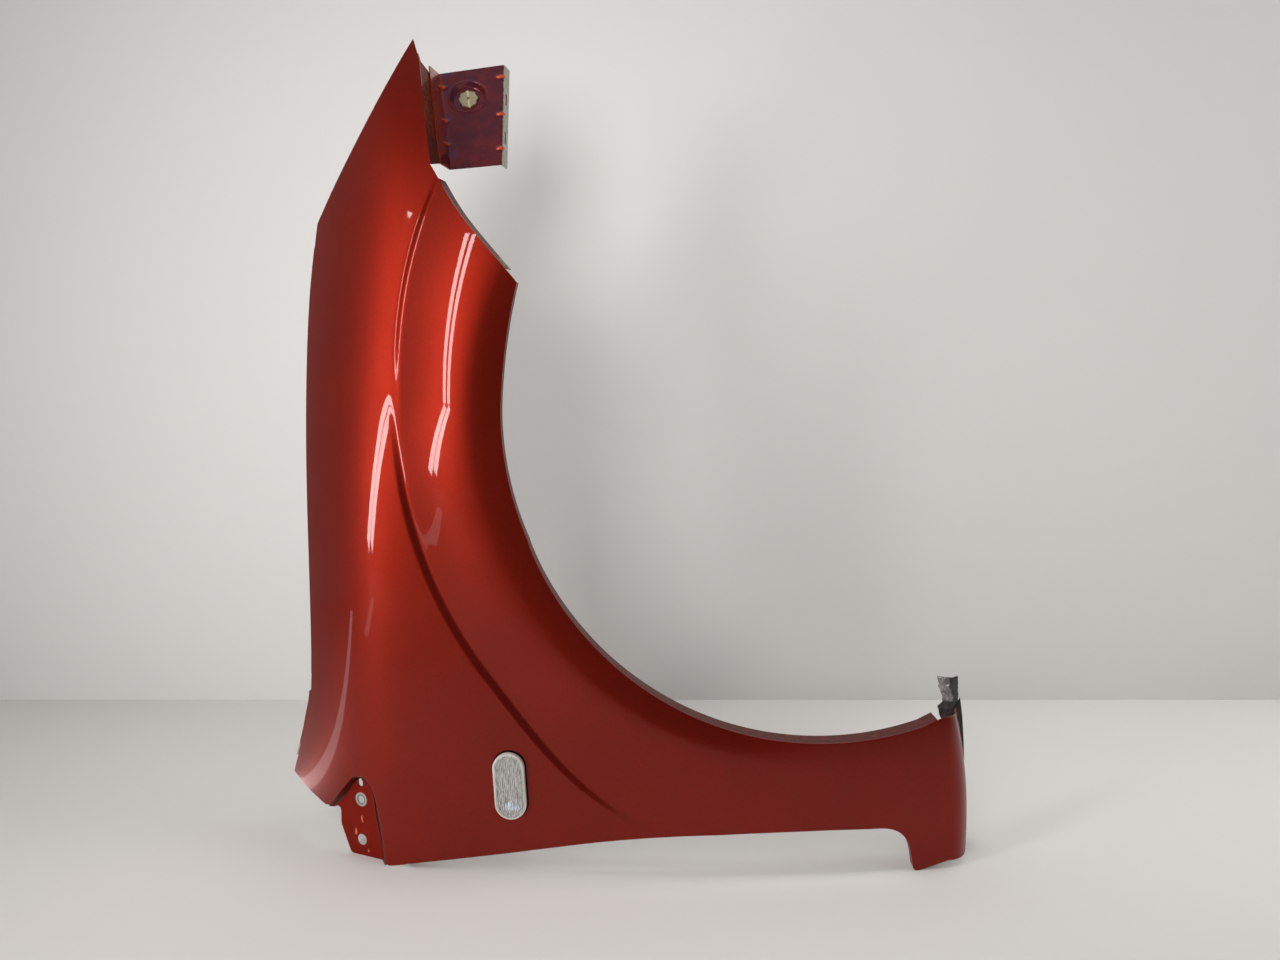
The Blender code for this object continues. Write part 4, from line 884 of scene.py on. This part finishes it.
def buildSillBracket(*finishes):
    share = evenly(sillBracket["rows"])
    z = archEnd[1] + sillBracket["top"] - sillBracket["length"] * share
    edge = onSurface(np.stack([sillEdge(z), z], axis=1))
    flare = sillFlare(sillShare(z))

    def flangePoint(depthShare, fall=0.0):
        return edge + np.stack([flare * depthShare - sillBracket["clear"],
                                panel["flangeDepth"] * depthShare + 0 * z, -fall], axis=1)

    fall = sillBracket["topFall"] * np.clip(1 - share * sillBracket["length"] / sillBracket["top"], 0, 1)
    front = flangePoint(sillBracket["legShares"][0], 0 * z)
    back = flangePoint(sillBracket["legShares"][1], fall)
    places, widths = zip(*sillBracket["wing"])
    jags = sillBracket["jags"]
    jag = np.interp(share * (jags - 1), np.arange(jags), np.random.default_rng(4).uniform(0, 1, jags))
    wing = np.interp(share, places, widths) - sillBracket["ragged"] * jag
    side = front + np.stack([-wing, sillBracket["splay"] + 0 * z, 0 * z], axis=1)
    columns = evenly(sillBracket["columns"])
    grid = np.array([along(roundedPath(list(corners), (sillBracket["bend"],), 10), columns)
                     for corners in zip(side, front, back)])
    high, wide = sillBracket["lumpRows"], sillBracket["lumpColumns"]
    coarse = np.random.default_rng(7).uniform(-1, 1, (high, wide))
    lumps = np.stack([np.interp(columns * (wide - 1), np.arange(wide), row) for row in coarse])
    lumps = np.stack([np.interp(share * (high - 1), np.arange(high), column) for column in lumps.T], axis=1)
    grid[..., 0] -= sillBracket["lumps"] * (lumps + 1) / 2
    grid[..., 1] += sillBracket["lumps"] * lumps
    depth = np.linalg.norm(grid - grid[:, :1], axis=-1)
    handIn(sheetPiece("sillBracket", [(grid, depth)], sillBracket["sheet"], finishes),
           "sill_bracket")


# Side repeater lamp

housing = {
    "rim": 0.0005, "depth": 0.026, "wall": 0.0015, "draft": 0.001, "stopBelow": 0.0008, "bore": 0.0064,
    "flute": 0.00025, "fluteRadius": 0.015, "floorRows": 20, "wallRows": 8,
}
bulb = {"foot": 0.0034, "neck": 0.0036, "radius": 0.0045, "shoulder": 0.0012, "length": 0.016}
holder = {
    "radius": 0.0061, "face": 0.0025, "pocketDepth": 0.0072, "grip": 0.0083, "gripHeight": 0.0025,
    "gripLobes": (12, 0.02), "endRadius": 0.0055, "length": 0.018,
    "tail": ((0.0060, 0.001), (0.0060, 0.004), (0.0055, 0.0045), (0.0055, 0.008), (0.0059, 0.0085)),
}

# heights above the panel, and the inset of the lens's skirt
lensBase = 2 * lamp["gap"] + lamp["gasket"]
lensTop = lensBase + lamp["lensHeight"]
lensFoot = lensBase - lamp["skirt"]
skirtInset = lamp["flange"] + lamp["wall"]
housingRim = lensBase + housing["rim"]
housingFloor = housingRim - housing["depth"]
holderFace = housingFloor + holder["face"]
holderNeck = housingFloor - lamp["gap"]


def stadiumLoops(*places):
    # ovals of the lamp's shape, each by its inset and height
    loops = []
    for inset, height in places:
        outline = longHole(lamp["length"] - 2 * inset, lamp["width"] - 2 * inset, 32)
        loops.append(np.array([(x, y, height) for x, y in outline]))
    return loops


def buildGasket(*finishes):
    low = lamp["gap"]
    top = low + lamp["gasket"]
    outer, bulge = lamp["gasketInsets"]
    inner = lamp["flange"] - 2 * low
    loops = stadiumLoops((outer, low), (bulge, low + lamp["gasketStep"]), (outer, top),
                         (inner, top), (inner, low))
    made = loopBody("repeaterGasket", loops, lampFrame(), finishes, ring=True)
    handIn(made, "repeater_gasket")


def buildLens(*finishes):
    # ribbed back and front, with the skirt and the rounded rim between them
    edge, rim, flange = lamp["edge"], lamp["rim"], lamp["flange"]
    face = lensTop - lamp["dish"]
    back = stadiumLoops(*((inset, lensTop - lamp["wall"])
                          for inset in np.linspace(lamp["middle"], skirtInset, lamp["backRows"])))
    front = stadiumLoops(*((inset, face) for inset in np.linspace(rim, lamp["middle"], lamp["frontRows"])))
    turns = np.radians((25, 50, 75))
    between = stadiumLoops(
        (skirtInset, lensFoot), (flange, lensFoot), (flange, lensBase), (0, lensBase), (0, lensTop - edge),
        *((edge * (1 - math.cos(turn)), lensTop - edge * (1 - math.sin(turn))) for turn in turns),
        (edge, lensTop), (rim - lamp["rimEdge"], lensTop), (rim, face))
    slow, quick = lamp["swayPitches"]
    for rows, share in ((back, 0.5), (front, 1.0)):
        for loop in rows:
            rib = 0.5 + 0.5 * np.cos(2 * math.pi * loop[:, 0] / lamp["ribPitch"])
            sway = 0.75 + 0.25 * np.sin(loop[:, 1] * slow + np.sin(loop[:, 0] * quick) * 2)
            loop[:, 2] -= lamp["ribDepth"] * rib * sway * share
    made = loopBody("repeaterLens", back + between + front, lampFrame(), finishes)
    handIn(made, "repeater_lens")


def buildHousing(*finishes):
    outer = skirtInset + lamp["gap"]
    inner = outer + housing["wall"]
    bottom = housingFloor + housing["wall"]
    inside = stadiumLoops(*((inset, bottom) for inset in np.linspace(
        lamp["middle"], inner + housing["draft"], housing["floorRows"])))
    fluted = stadiumLoops(*((inner + housing["draft"] * (1 - s), bottom + (housingRim - bottom) * s)
                            for s in evenly(housing["wallRows"])[1:]))
    for loop in fluted:
        flute = housing["flute"] * (1 + np.cos(np.arange(len(loop)) * math.pi))
        loop[:, :2] *= 1 - flute[:, None] / housing["fluteRadius"]
    outside = stadiumLoops((outer, housingRim), (outer, lensFoot - housing["stopBelow"]), (inner, housingFloor))
    place = lampFrame()
    made = loopBody("repeaterHousing", inside + fluted + outside, place, finishes)
    bore = longHole(2 * housing["bore"] + 1e-5, 2 * housing["bore"])
    cut(made, "holderBore", [(place, bore, housingFloor - 0.004, housingFloor + 0.004)])
    handIn(made, "repeater_housing")


def buildHolder(*finishes):
    pocket = bulb["neck"] + lamp["gap"]
    back = holderNeck - holder["gripHeight"]
    loops = [roundLoop(radius, height) for radius, height in (
        (pocket, holderNeck - holder["pocketDepth"]), (pocket, holderFace),
        (holder["radius"], holderFace), (holder["radius"], holderNeck))]
    loops += [roundLoop(holder["grip"], height, *holder["gripLobes"]) for height in (holderNeck, back)]
    loops += [roundLoop(radius, back - below) for radius, below in holder["tail"]]
    loops.append(roundLoop(holder["endRadius"], holderNeck - holder["length"]))
    made = loopBody("repeaterHolder", loops, lampFrame(), finishes)
    handIn(made, "repeater_bulb_holder")


def buildBulb(*finishes):
    radius = bulb["radius"]
    shoulder = holderFace + bulb["shoulder"]
    dome = shoulder + bulb["length"] - radius
    loops = [roundLoop(bulb["foot"], holderNeck - holder["pocketDepth"] + lamp["gap"]),
             roundLoop(bulb["neck"], holderFace), roundLoop(radius, shoulder)]
    loops += [roundLoop(radius * math.cos(turn), dome + radius * math.sin(turn))
              for turn in np.radians(range(0, 90, 9))]
    handIn(loopBody("repeaterBulb", loops, lampFrame(), finishes), "repeater_bulb")


# Shader maths

class Sock:
    # one socket of a shader; sums and products of sockets add their Math nodes
    def __init__(self, tree, link=None):
        self.tree = tree
        self.link = link

    def add(self, kind, settings=None, sockets=None, out=0):
        # any node: its settings first, then the values or links of its sockets
        made = self.tree.nodes.new(kind)
        for name, value in (settings or {}).items():
            setattr(made, name, value)
        for name, value in (sockets or {}).items():
            socket = made.inputs[name]
            if isinstance(value, Sock):
                self.tree.links.new(value.link, socket)
            else:
                socket.default_value = value
        return Sock(self.tree, made.outputs[out])

    def maths(self, operation, *values):
        return self.add("ShaderNodeMath", {"operation": operation}, dict(enumerate(values)))

    def __add__(self, other):
        return self.maths("ADD", self, other)

    def __radd__(self, other):
        return self.maths("ADD", other, self)

    def __sub__(self, other):
        return self.maths("SUBTRACT", self, other)

    def __rsub__(self, other):
        return self.maths("SUBTRACT", other, self)

    def __mul__(self, other):
        return self.maths("MULTIPLY", self, other)

    def __rmul__(self, other):
        return self.maths("MULTIPLY", other, self)

    def __truediv__(self, other):
        return self.maths("DIVIDE", self, other)

    def __gt__(self, other):
        return self.maths("GREATER_THAN", self, other)

    def __lt__(self, other):
        return self.maths("LESS_THAN", self, other)

    def clamped(self):
        return self.maths("MINIMUM", self.maths("MAXIMUM", self, 0.0), 1.0)

    def step(self, start, end):
        # smooth rise from 0 at start to 1 at end
        return self.add("ShaderNodeMapRange", {"interpolation_type": "SMOOTHSTEP"},
                        {"Value": self, "From Min": start, "From Max": end})

    def mix(self, low, high):
        # this socket is the factor between two colours
        return self.add("ShaderNodeMix", {"data_type": "RGBA"}, {0: self, 6: tinted(low), 7: tinted(high)}, 2)

    def patches(self, start, gain, low, high):
        # colours that change over quickly where this noise passes start
        return ((self - start) * gain).clamped().mix(low, high)


def tinted(colour):
    return colour if isinstance(colour, Sock) or len(colour) == 4 else (*colour, 1)


class Finish:
    # a material with its coordinates at hand
    def __init__(self, name):
        self.material = bpy.data.materials.new(name)
        self.material.use_nodes = True
        self.tree = self.material.node_tree
        self.shader = self.tree.nodes["Principled BSDF"]
        self.start = Sock(self.tree)
        self.place = self.start.add("ShaderNodeTexCoord", out=3)

    def axis(self, index):
        return self.start.add("ShaderNodeSeparateXYZ", None, {0: self.place}, index)

    def vector(self, operation, first, second, out=0):
        return self.start.add("ShaderNodeVectorMath", {"operation": operation}, {0: first, 1: second}, out)

    def noise(self, scale, detail=3.0, rough=0.5, stretch=None):
        where = self.vector("MULTIPLY", self.place, stretch) if stretch else self.place
        return self.start.add("ShaderNodeTexNoise", None,
                              {"Vector": where, "Scale": scale, "Detail": detail, "Roughness": rough})

    def attribute(self, name):
        return self.start.add("ShaderNodeAttribute", {"attribute_name": name}, None, 2)

    def bump(self, height, distance, strength=1.0):
        return self.start.add("ShaderNodeBump", None,
                              {"Height": height, "Distance": distance, "Strength": strength})

    def wear(self, **sockets):
        # what the surface shows: values stay on the shader, links are joined to it
        for name, value in sockets.items():
            socket = self.shader.inputs[socketNames[name]]
            if isinstance(value, Sock):
                self.tree.links.new(value.link, socket)
            elif isinstance(value, tuple) and len(value) == 3:
                socket.default_value = (*value, 1)
            else:
                socket.default_value = value
        return self.material


socketNames = {
    "colour": "Base Color", "rough": "Roughness", "metal": "Metallic", "normal": "Normal",
    "coat": "Coat Weight", "coatRough": "Coat Roughness", "ior": "IOR", "clear": "Transmission Weight",
    "specular": "Specular IOR Level", "coatIor": "Coat IOR",
}


# Materials

# places in the frame where the paint changes
paintPlaces = {
    "noseHeight": 0.62, "noseX": 0.0, "lobeX": -0.135, "lobeHeight": 0.78, "sealerX": -0.125,
    "sillX": 0.343, "earX": -0.372, "earHeight": 0.26, "wearFrom": -0.27, "wearTo": -0.36,
    "steelAt": tuple(wheel + Vector((tabHoleX, tabDepth(tabHoleX), panel["floorZ"] + panel["tabHoles"][1][0]))),
}


def lampPlace(f):
    # how far a place lies across and along the lamp, and how far outside its oval
    turn = lampFrame()
    offset = f.vector("SUBTRACT", f.place, tuple(wheel))
    side, lengthways = (f.vector("DOT_PRODUCT", offset, tuple(axis), 1) - turn.translation.dot(axis)
                        for axis in (turn.col[0].to_3d(), turn.col[1].to_3d()))
    straight = (lamp["length"] - lamp["width"]) / 2
    beyond = side.maths("MAXIMUM", side.maths("ABSOLUTE", lengthways) - straight, 0.0)
    return side, lengthways, side.maths("SQRT", side * side + beyond * beyond) - lamp["width"] / 2


def paintMaterial():
    f = Finish("bodyPaint")
    flake = f.noise(1500, 2.0, 0.7)
    cloud = f.noise(9, 2.0)
    dust = f.noise(60, 5.0, 0.7)
    speck = f.noise(230, 4.0, 0.65)
    down, forward = f.axis(0), f.axis(2)
    fold = f.attribute("foldDepth")
    mask = (flake - 0.35) * 1.6 + (cloud - 0.5) * 0.35
    colour = mask.clamped().mix((0.16, 0.0070, 0.0019), (0.355, 0.0205, 0.0074))

    # folded strips: overspray thins out on them, with sealer in the bumper return
    folded = fold.step(0.0016, 0.0040)
    thin = speck.patches(0.38, 3.0, (0.085, 0.022, 0.020), (0.24, 0.035, 0.016))
    nose = (forward > paintPlaces["noseHeight"]) * (down < paintPlaces["noseX"])
    lobe = speck.patches(0.40, 3.5, (0.13, 0.020, 0.010), (0.42, 0.062, 0.020))
    thin = (nose * (down < paintPlaces["lobeX"]) * (forward > paintPlaces["lobeHeight"])).mix(thin, lobe)
    sealer = speck.patches(0.46, 9.0, (0.060, 0.028, 0.026), (0.46, 0.33, 0.14))
    thin = (nose * fold.step(0.006, 0.012) * (down > paintPlaces["sealerX"])).mix(thin, sealer)
    tab = (fold > panel["tabFold"] - 0.0001) * (fold < panel["tabFold"] + 0.0001)
    colour = (folded * (1 - tab)).mix(colour, thin)

    # chips of underseal along the sill flange
    ragged = fold + (speck - 0.5) * 0.022 + (dust - 0.5) * 0.016
    sill = (down > paintPlaces["sillX"]) * ragged.step(0.010, 0.012)
    colour = sill.mix(colour, speck.patches(0.50, 5.0, (0.010, 0.007, 0.005), (0.075, 0.055, 0.040)))

    # painted reflection: pale grey on the hem at the ear; bare steel round the tab's middle hole;
    # painted highlights (glints) on its marks
    hem = fold.step(0.0008, 0.0016) * (down < paintPlaces["earX"]) * (forward < paintPlaces["earHeight"])
    colour = hem.mix(colour, (0.27, 0.255, 0.245))
    reach = f.vector("DISTANCE", f.place, paintPlaces["steelAt"], 1)
    steel = (reach + (speck - 0.5) * 0.0010).step(0.0084, 0.0068)
    colour = steel.mix(colour, reach.step(0.0050, 0.0064).mix((0.20, 0.21, 0.20), (0.40, 0.41, 0.395)))
    # painted highlights: glints on the tab's marks in bright orange-red
    colour = f.attribute("paintedHighlight").step(0.25, 0.8).mix(colour, (0.80, 0.20, 0.11))

    # painted shade: a dark band in the gap round the lamp
    gap = lampPlace(f)[2]
    gapShade = (gap + (dust - 0.5) * 0.0012).step(0.0020, 0.0006)
    colour = gapShade.mix(colour, (0.012, 0.003, 0.002))

    edgeWear = down.step(paintPlaces["wearFrom"], paintPlaces["wearTo"])
    plain = (1 - edgeWear * 0.65) * (1 - folded * 0.8) * (1 - sill) * (1 - steel) * (1 - hem) * (1 - gapShade)
    rough = 0.42 + (flake - 0.5) * 0.16 + (dust - 0.5) * 0.05 + folded * 0.15 + sill * 0.3 + steel * 0.1
    return f.wear(colour=colour, rough=rough, metal=(0.82 - hem * 0.6 - steel * 0.2) * (1 - sill), specular=0.1,
                  coat=plain * 0.55, coatRough=0.02, coatIor=1.4,
                  normal=f.bump(f.noise(260, 2.0), 0.00012, 0.05))


def insideMaterial():
    f = Finish("insidePrimer")
    mist = f.noise(14, 4.0, 0.6)
    grain = f.noise(420, 3.0)
    colour = mist.patches(0.42, 5.0, (0.10, 0.10, 0.098), (0.13, 0.022, 0.012))
    return f.wear(colour=colour, rough=0.45 + (grain - 0.5) * 0.3, metal=0.15,
                  normal=f.bump(grain, 0.0002, 0.25))


def bracketMaterial():
    f = Finish("bracketPaint")
    across = f.attribute("foldDepth")
    mist = f.noise(45, 4.0, 0.6)
    patch = f.noise(28, 2.0)
    grain = f.noise(700, 2.0)
    speck = f.noise(330, 3.0, 0.7)
    web = mist.patches(0.4, 3.0, (0.082, 0.012, 0.023), (0.170, 0.017, 0.018))
    violet = ((patch - 0.52) * 5.0).clamped() * across.step(0.085, 0.035)
    web = violet.mix(web, (0.085, 0.035, 0.110))
    seam = (across + (mist - 0.5) * 0.012).step(0.034, 0.026)
    web = (seam * 0.85).mix(web, (0.34, 0.040, 0.016))
    # painted highlight: the darts shine bright orange-red
    dartHighlight = f.attribute("paintedHighlight")
    web = dartHighlight.step(0.12, 0.6).mix(web, (0.62, 0.075, 0.018))
    bare = (across + (speck - 0.5) * 0.006).step(0.1035, 0.1065)
    rear = speck.patches(0.45, 4.0, (0.36, 0.34, 0.28), (0.56, 0.54, 0.46))
    rust = (speck > 0.66) * 0.8
    rear = rust.mix(rear, (0.42, 0.09, 0.03))
    return f.wear(colour=bare.mix(web, rear), rough=0.30 + (grain - 0.5) * 0.2 + bare * 0.25,
                  metal=0.55 - bare * 0.4, coat=0.5 - bare * 0.5, coatRough=0.08,
                  normal=f.bump(grain, 0.0001, 0.2))


def coatingMaterial():
    f = Finish("sillCoating")
    lump = f.noise(260, 6.0, 0.7)
    dust = f.noise(120, 5.0, 0.65)
    across = f.attribute("foldDepth")
    fleck = f.noise(420, 3.0, 0.7)
    dark = dust.patches(0.42, 3.4, (0.020, 0.016, 0.014), (0.075, 0.062, 0.055))
    pale = dust.patches(0.40, 4.0, (0.085, 0.072, 0.070), (0.24, 0.215, 0.205))
    pale = (fleck > 0.63).mix(pale, (0.62, 0.60, 0.58))
    gusset = wheel.z + archEnd[1] + 0.0085
    wing = (across + (dust - 0.5) * 0.006).step(0.0125, 0.0105) * f.axis(2).step(gusset - 0.002, gusset)
    colour = wing.mix(dark, pale)
    return f.wear(colour=colour, rough=0.85 - wing * 0.25, normal=f.bump(lump, 0.0012, 0.8))


def nylonMaterial():
    f = Finish("nylon")
    cloud = f.noise(220, 3.0)
    ridge = f.attribute("paintedHighlight")
    colour = cloud.mix((0.16, 0.135, 0.075), (0.26, 0.225, 0.135))
    # painted highlight: a paler line along the head's ridge
    colour = (ridge * 0.7).mix(colour, (0.50, 0.46, 0.32))
    return f.wear(colour=colour, rough=0.38 + (cloud - 0.5) * 0.2, normal=f.bump(cloud, 0.0002, 0.2))


def lensMaterial():
    f = Finish("clearLens")
    streak = f.noise(900, 3.0, 0.6, (1.0, 1.0, 0.16))
    haze = f.noise(90, 3.0)
    fleck = f.noise(620, 2.0, 0.6, (1.0, 1.0, 0.25))
    colour = streak.patches(0.38, 3.6, (0.24, 0.235, 0.215), (0.60, 0.595, 0.57))
    colour = (fleck.step(0.60, 0.68) * 0.75).mix(colour, (0.10, 0.10, 0.09))
    side, lengthways, outside = lampPlace(f)
    # painted reflection: a bluish-white patch near the lens's lower end
    across = (side - 0.001) / 0.0088
    endwise = (lengthways + 0.0205) / 0.0075
    paintedGlare = (across * across + endwise * endwise + (0.54 - streak) * 9.0).step(0.9, 0.1)
    colour = paintedGlare.mix(colour, (0.72, 0.84, 1.0))
    # painted highlight: a pale band along the lens's rim
    colour = (outside.step(-0.0030, -0.0014) * 0.7).mix(colour, (0.78, 0.75, 0.70))
    return f.wear(colour=colour, rough=0.05 + haze * 0.05, clear=0.42, ior=1.49)


def reflectorMaterial():
    f = Finish("reflector")
    grain = f.noise(300, 2.0)
    return f.wear(colour=grain.mix((0.62, 0.62, 0.62), (0.74, 0.74, 0.75)),
                  rough=0.22 + grain * 0.15, metal=0.85)


def rubberMaterial():
    f = Finish("gasketFoam")
    pores = f.noise(900, 3.0)
    return f.wear(colour=pores.mix((0.012, 0.012, 0.012), (0.035, 0.034, 0.033)), rough=0.8,
                  normal=f.bump(pores, 0.0003, 0.4))


def holderMaterial():
    f = Finish("holderPlastic")
    grain = f.noise(800, 2.0)
    return f.wear(colour=grain.mix((0.03, 0.03, 0.032), (0.06, 0.06, 0.062)), rough=0.5 + (grain - 0.5) * 0.2,
                  normal=f.bump(grain, 0.0001, 0.3))


def bulbMaterial():
    f = Finish("bulbGlass")
    haze = f.noise(200, 2.0)
    return f.wear(colour=haze.mix((0.85, 0.42, 0.08), (0.92, 0.52, 0.14)), rough=0.05, clear=0.9, ior=1.5)


# Studio

studio = {
    "floor": (0.72, 0.70, 0.675), "wall": (0.64, 0.622, 0.605),
    "wallBehind": 0.51, "left": 1.7, "right": 4.2, "front": 3.0, "height": 3.0,
    "skyAhead": (0.095, 0.094, 0.092), "skyLeft": (0.36, 0.35, 0.34), "skyUp": (0.50, 0.49, 0.48),
    "leftFrom": (-0.35, -0.85), "upFrom": (0.75, 1.0), "shade": 0.97, "aim": (-0.15, 0.1, 0.45),
}


def stageMaterial(name, colour):
    f = Finish(name)
    pale = f.noise(2.2, 3.0).mix(tuple(c * studio["shade"] for c in colour), colour)
    return f.wear(colour=pale, rough=0.85, specular=0.2)


def oneSided(finish):
    # the backdrop is seen from its front only, so that it hides nothing from behind
    tree = finish.node_tree
    start = Sock(tree)
    surface = Sock(tree, tree.nodes["Principled BSDF"].outputs[0])
    behind = start.add("ShaderNodeNewGeometry", out=6)
    clear = start.add("ShaderNodeBsdfTransparent")
    mixed = start.add("ShaderNodeMixShader", None, {0: behind, 1: surface, 2: clear})
    tree.links.new(mixed.link, tree.nodes["Material Output"].inputs["Surface"])
    return finish


def addStage():
    wallY = studio["wallBehind"]
    left, right, front, height = -studio["left"], studio["right"], -studio["front"], studio["height"]
    for name, finish, corners in (
            ("floor", stageMaterial("floor", studio["floor"]),
             ((left, front, 0), (right, front, 0), (right, wallY, 0), (left, wallY, 0))),
            ("wall", oneSided(stageMaterial("wall", studio["wall"])),
             ((left, wallY, 0), (right, wallY, 0), (right, wallY, height), (left, wallY, height)))):
        mesh = bpy.data.meshes.new(name)
        mesh.from_pydata(corners, [], [(0, 1, 2, 3)])
        addPiece(name, mesh, finish)


# each light goes from one end to the other and faces the fender, or up. A dull one isn't mirrored in the paint.
lights = {
    "overhead": {"ends": ((-0.2, -0.10, 2.7), (2.6, -0.10, 2.7)),
                 "width": 0.6, "watts": 5.3, "dull": True, "spread": 64},
    "softKey": {"ends": ((-0.36, -1.5, 0.40), (-0.36, -1.5, 1.05)),
                "width": 0.55, "watts": 5.3, "dull": True, "spread": 90},
    "softRight": {"ends": ((1.75, -0.5, 0.3), (1.75, -0.5, 1.6)), "width": 0.8, "watts": 9, "dull": True},
    "stripHighA": {"ends": ((-0.70, -0.62, 1.28), (-0.76, -0.77, 0.60)), "width": 0.036, "watts": 2.1},
    "stripHighB": {"ends": ((-0.66, -0.66, 1.28), (-0.72, -0.81, 0.60)), "width": 0.036, "watts": 2.1},
    "stripLowA": {"ends": ((-1.60, -1.78, 0.72), (-2.02, -1.35, 0.05)),
                  "width": 0.088, "watts": 2.2, "spread": 100},
    "stripLowB": {"ends": ((-1.50, -1.88, 0.72), (-1.94, -1.45, 0.05)),
                  "width": 0.088, "watts": 2.2, "spread": 100},
    "floorGlare": {"ends": ((-1.45, -0.43, 0.02), (-0.41, 0.10, 0.01)),
                   "width": 0.05, "watts": 0.6, "up": True},
    "floorGlareFront": {"ends": ((-1.33, -0.95, 0.02), (-1.10, -0.58, 0.02)),
                        "width": 0.08, "watts": 0.2, "up": True},
}


def addLight(name, made):
    start, end = (Vector(p) for p in made["ends"])
    middle = (start + end) / 2
    towards = Vector((0, 0, 1)) if made.get("up") else Vector(studio["aim"]) - middle
    alongAxis = (end - start).normalized()
    face = -(towards - alongAxis * towards.dot(alongAxis)).normalized()
    data = bpy.data.lights.new(name, "AREA")
    data.shape = "RECTANGLE"
    data.size = (end - start).length
    data.size_y = made["width"]
    data.energy = made["watts"]
    data.spread = math.radians(made.get("spread", 180))
    placed = bpy.data.objects.new(name, data)
    turn = Matrix((alongAxis, face.cross(alongAxis), face)).transposed()
    placed.matrix_world = Matrix.Translation(middle) @ turn.to_4x4()
    placed.visible_camera = False
    placed.visible_glossy = not made.get("dull", False)
    bpy.context.scene.collection.objects.link(placed)


def addStudio():
    addStage()
    for name, made in lights.items():
        addLight(name, made)
    world = bpy.data.worlds.new("studio")
    world.use_nodes = True
    start = Sock(world.node_tree)
    direction = start.add("ShaderNodeTexCoord", out=0)
    side, up = (start.add("ShaderNodeSeparateXYZ", None, {0: direction}, k) for k in (0, 2))
    sky = side.step(*studio["leftFrom"]).mix(studio["skyAhead"], studio["skyLeft"])
    sky = up.step(*studio["upFrom"]).mix(sky, studio["skyUp"])
    world.node_tree.links.new(sky.link, world.node_tree.nodes["Background"].inputs["Color"])
    bpy.context.scene.world = world
    bpy.context.scene.view_settings.view_transform = "Standard"
    print("studio lit")


# Assembly

def main():
    buildPanel(paintMaterial(), insideMaterial())
    buildBracket(bracketMaterial())
    buildGrommet(nylonMaterial())
    buildSillBracket(coatingMaterial())
    buildGasket(rubberMaterial())
    buildLens(lensMaterial())
    buildHousing(reflectorMaterial())
    buildHolder(holderMaterial())
    buildBulb(bulbMaterial())
    addCamera()
    addStudio()


main()
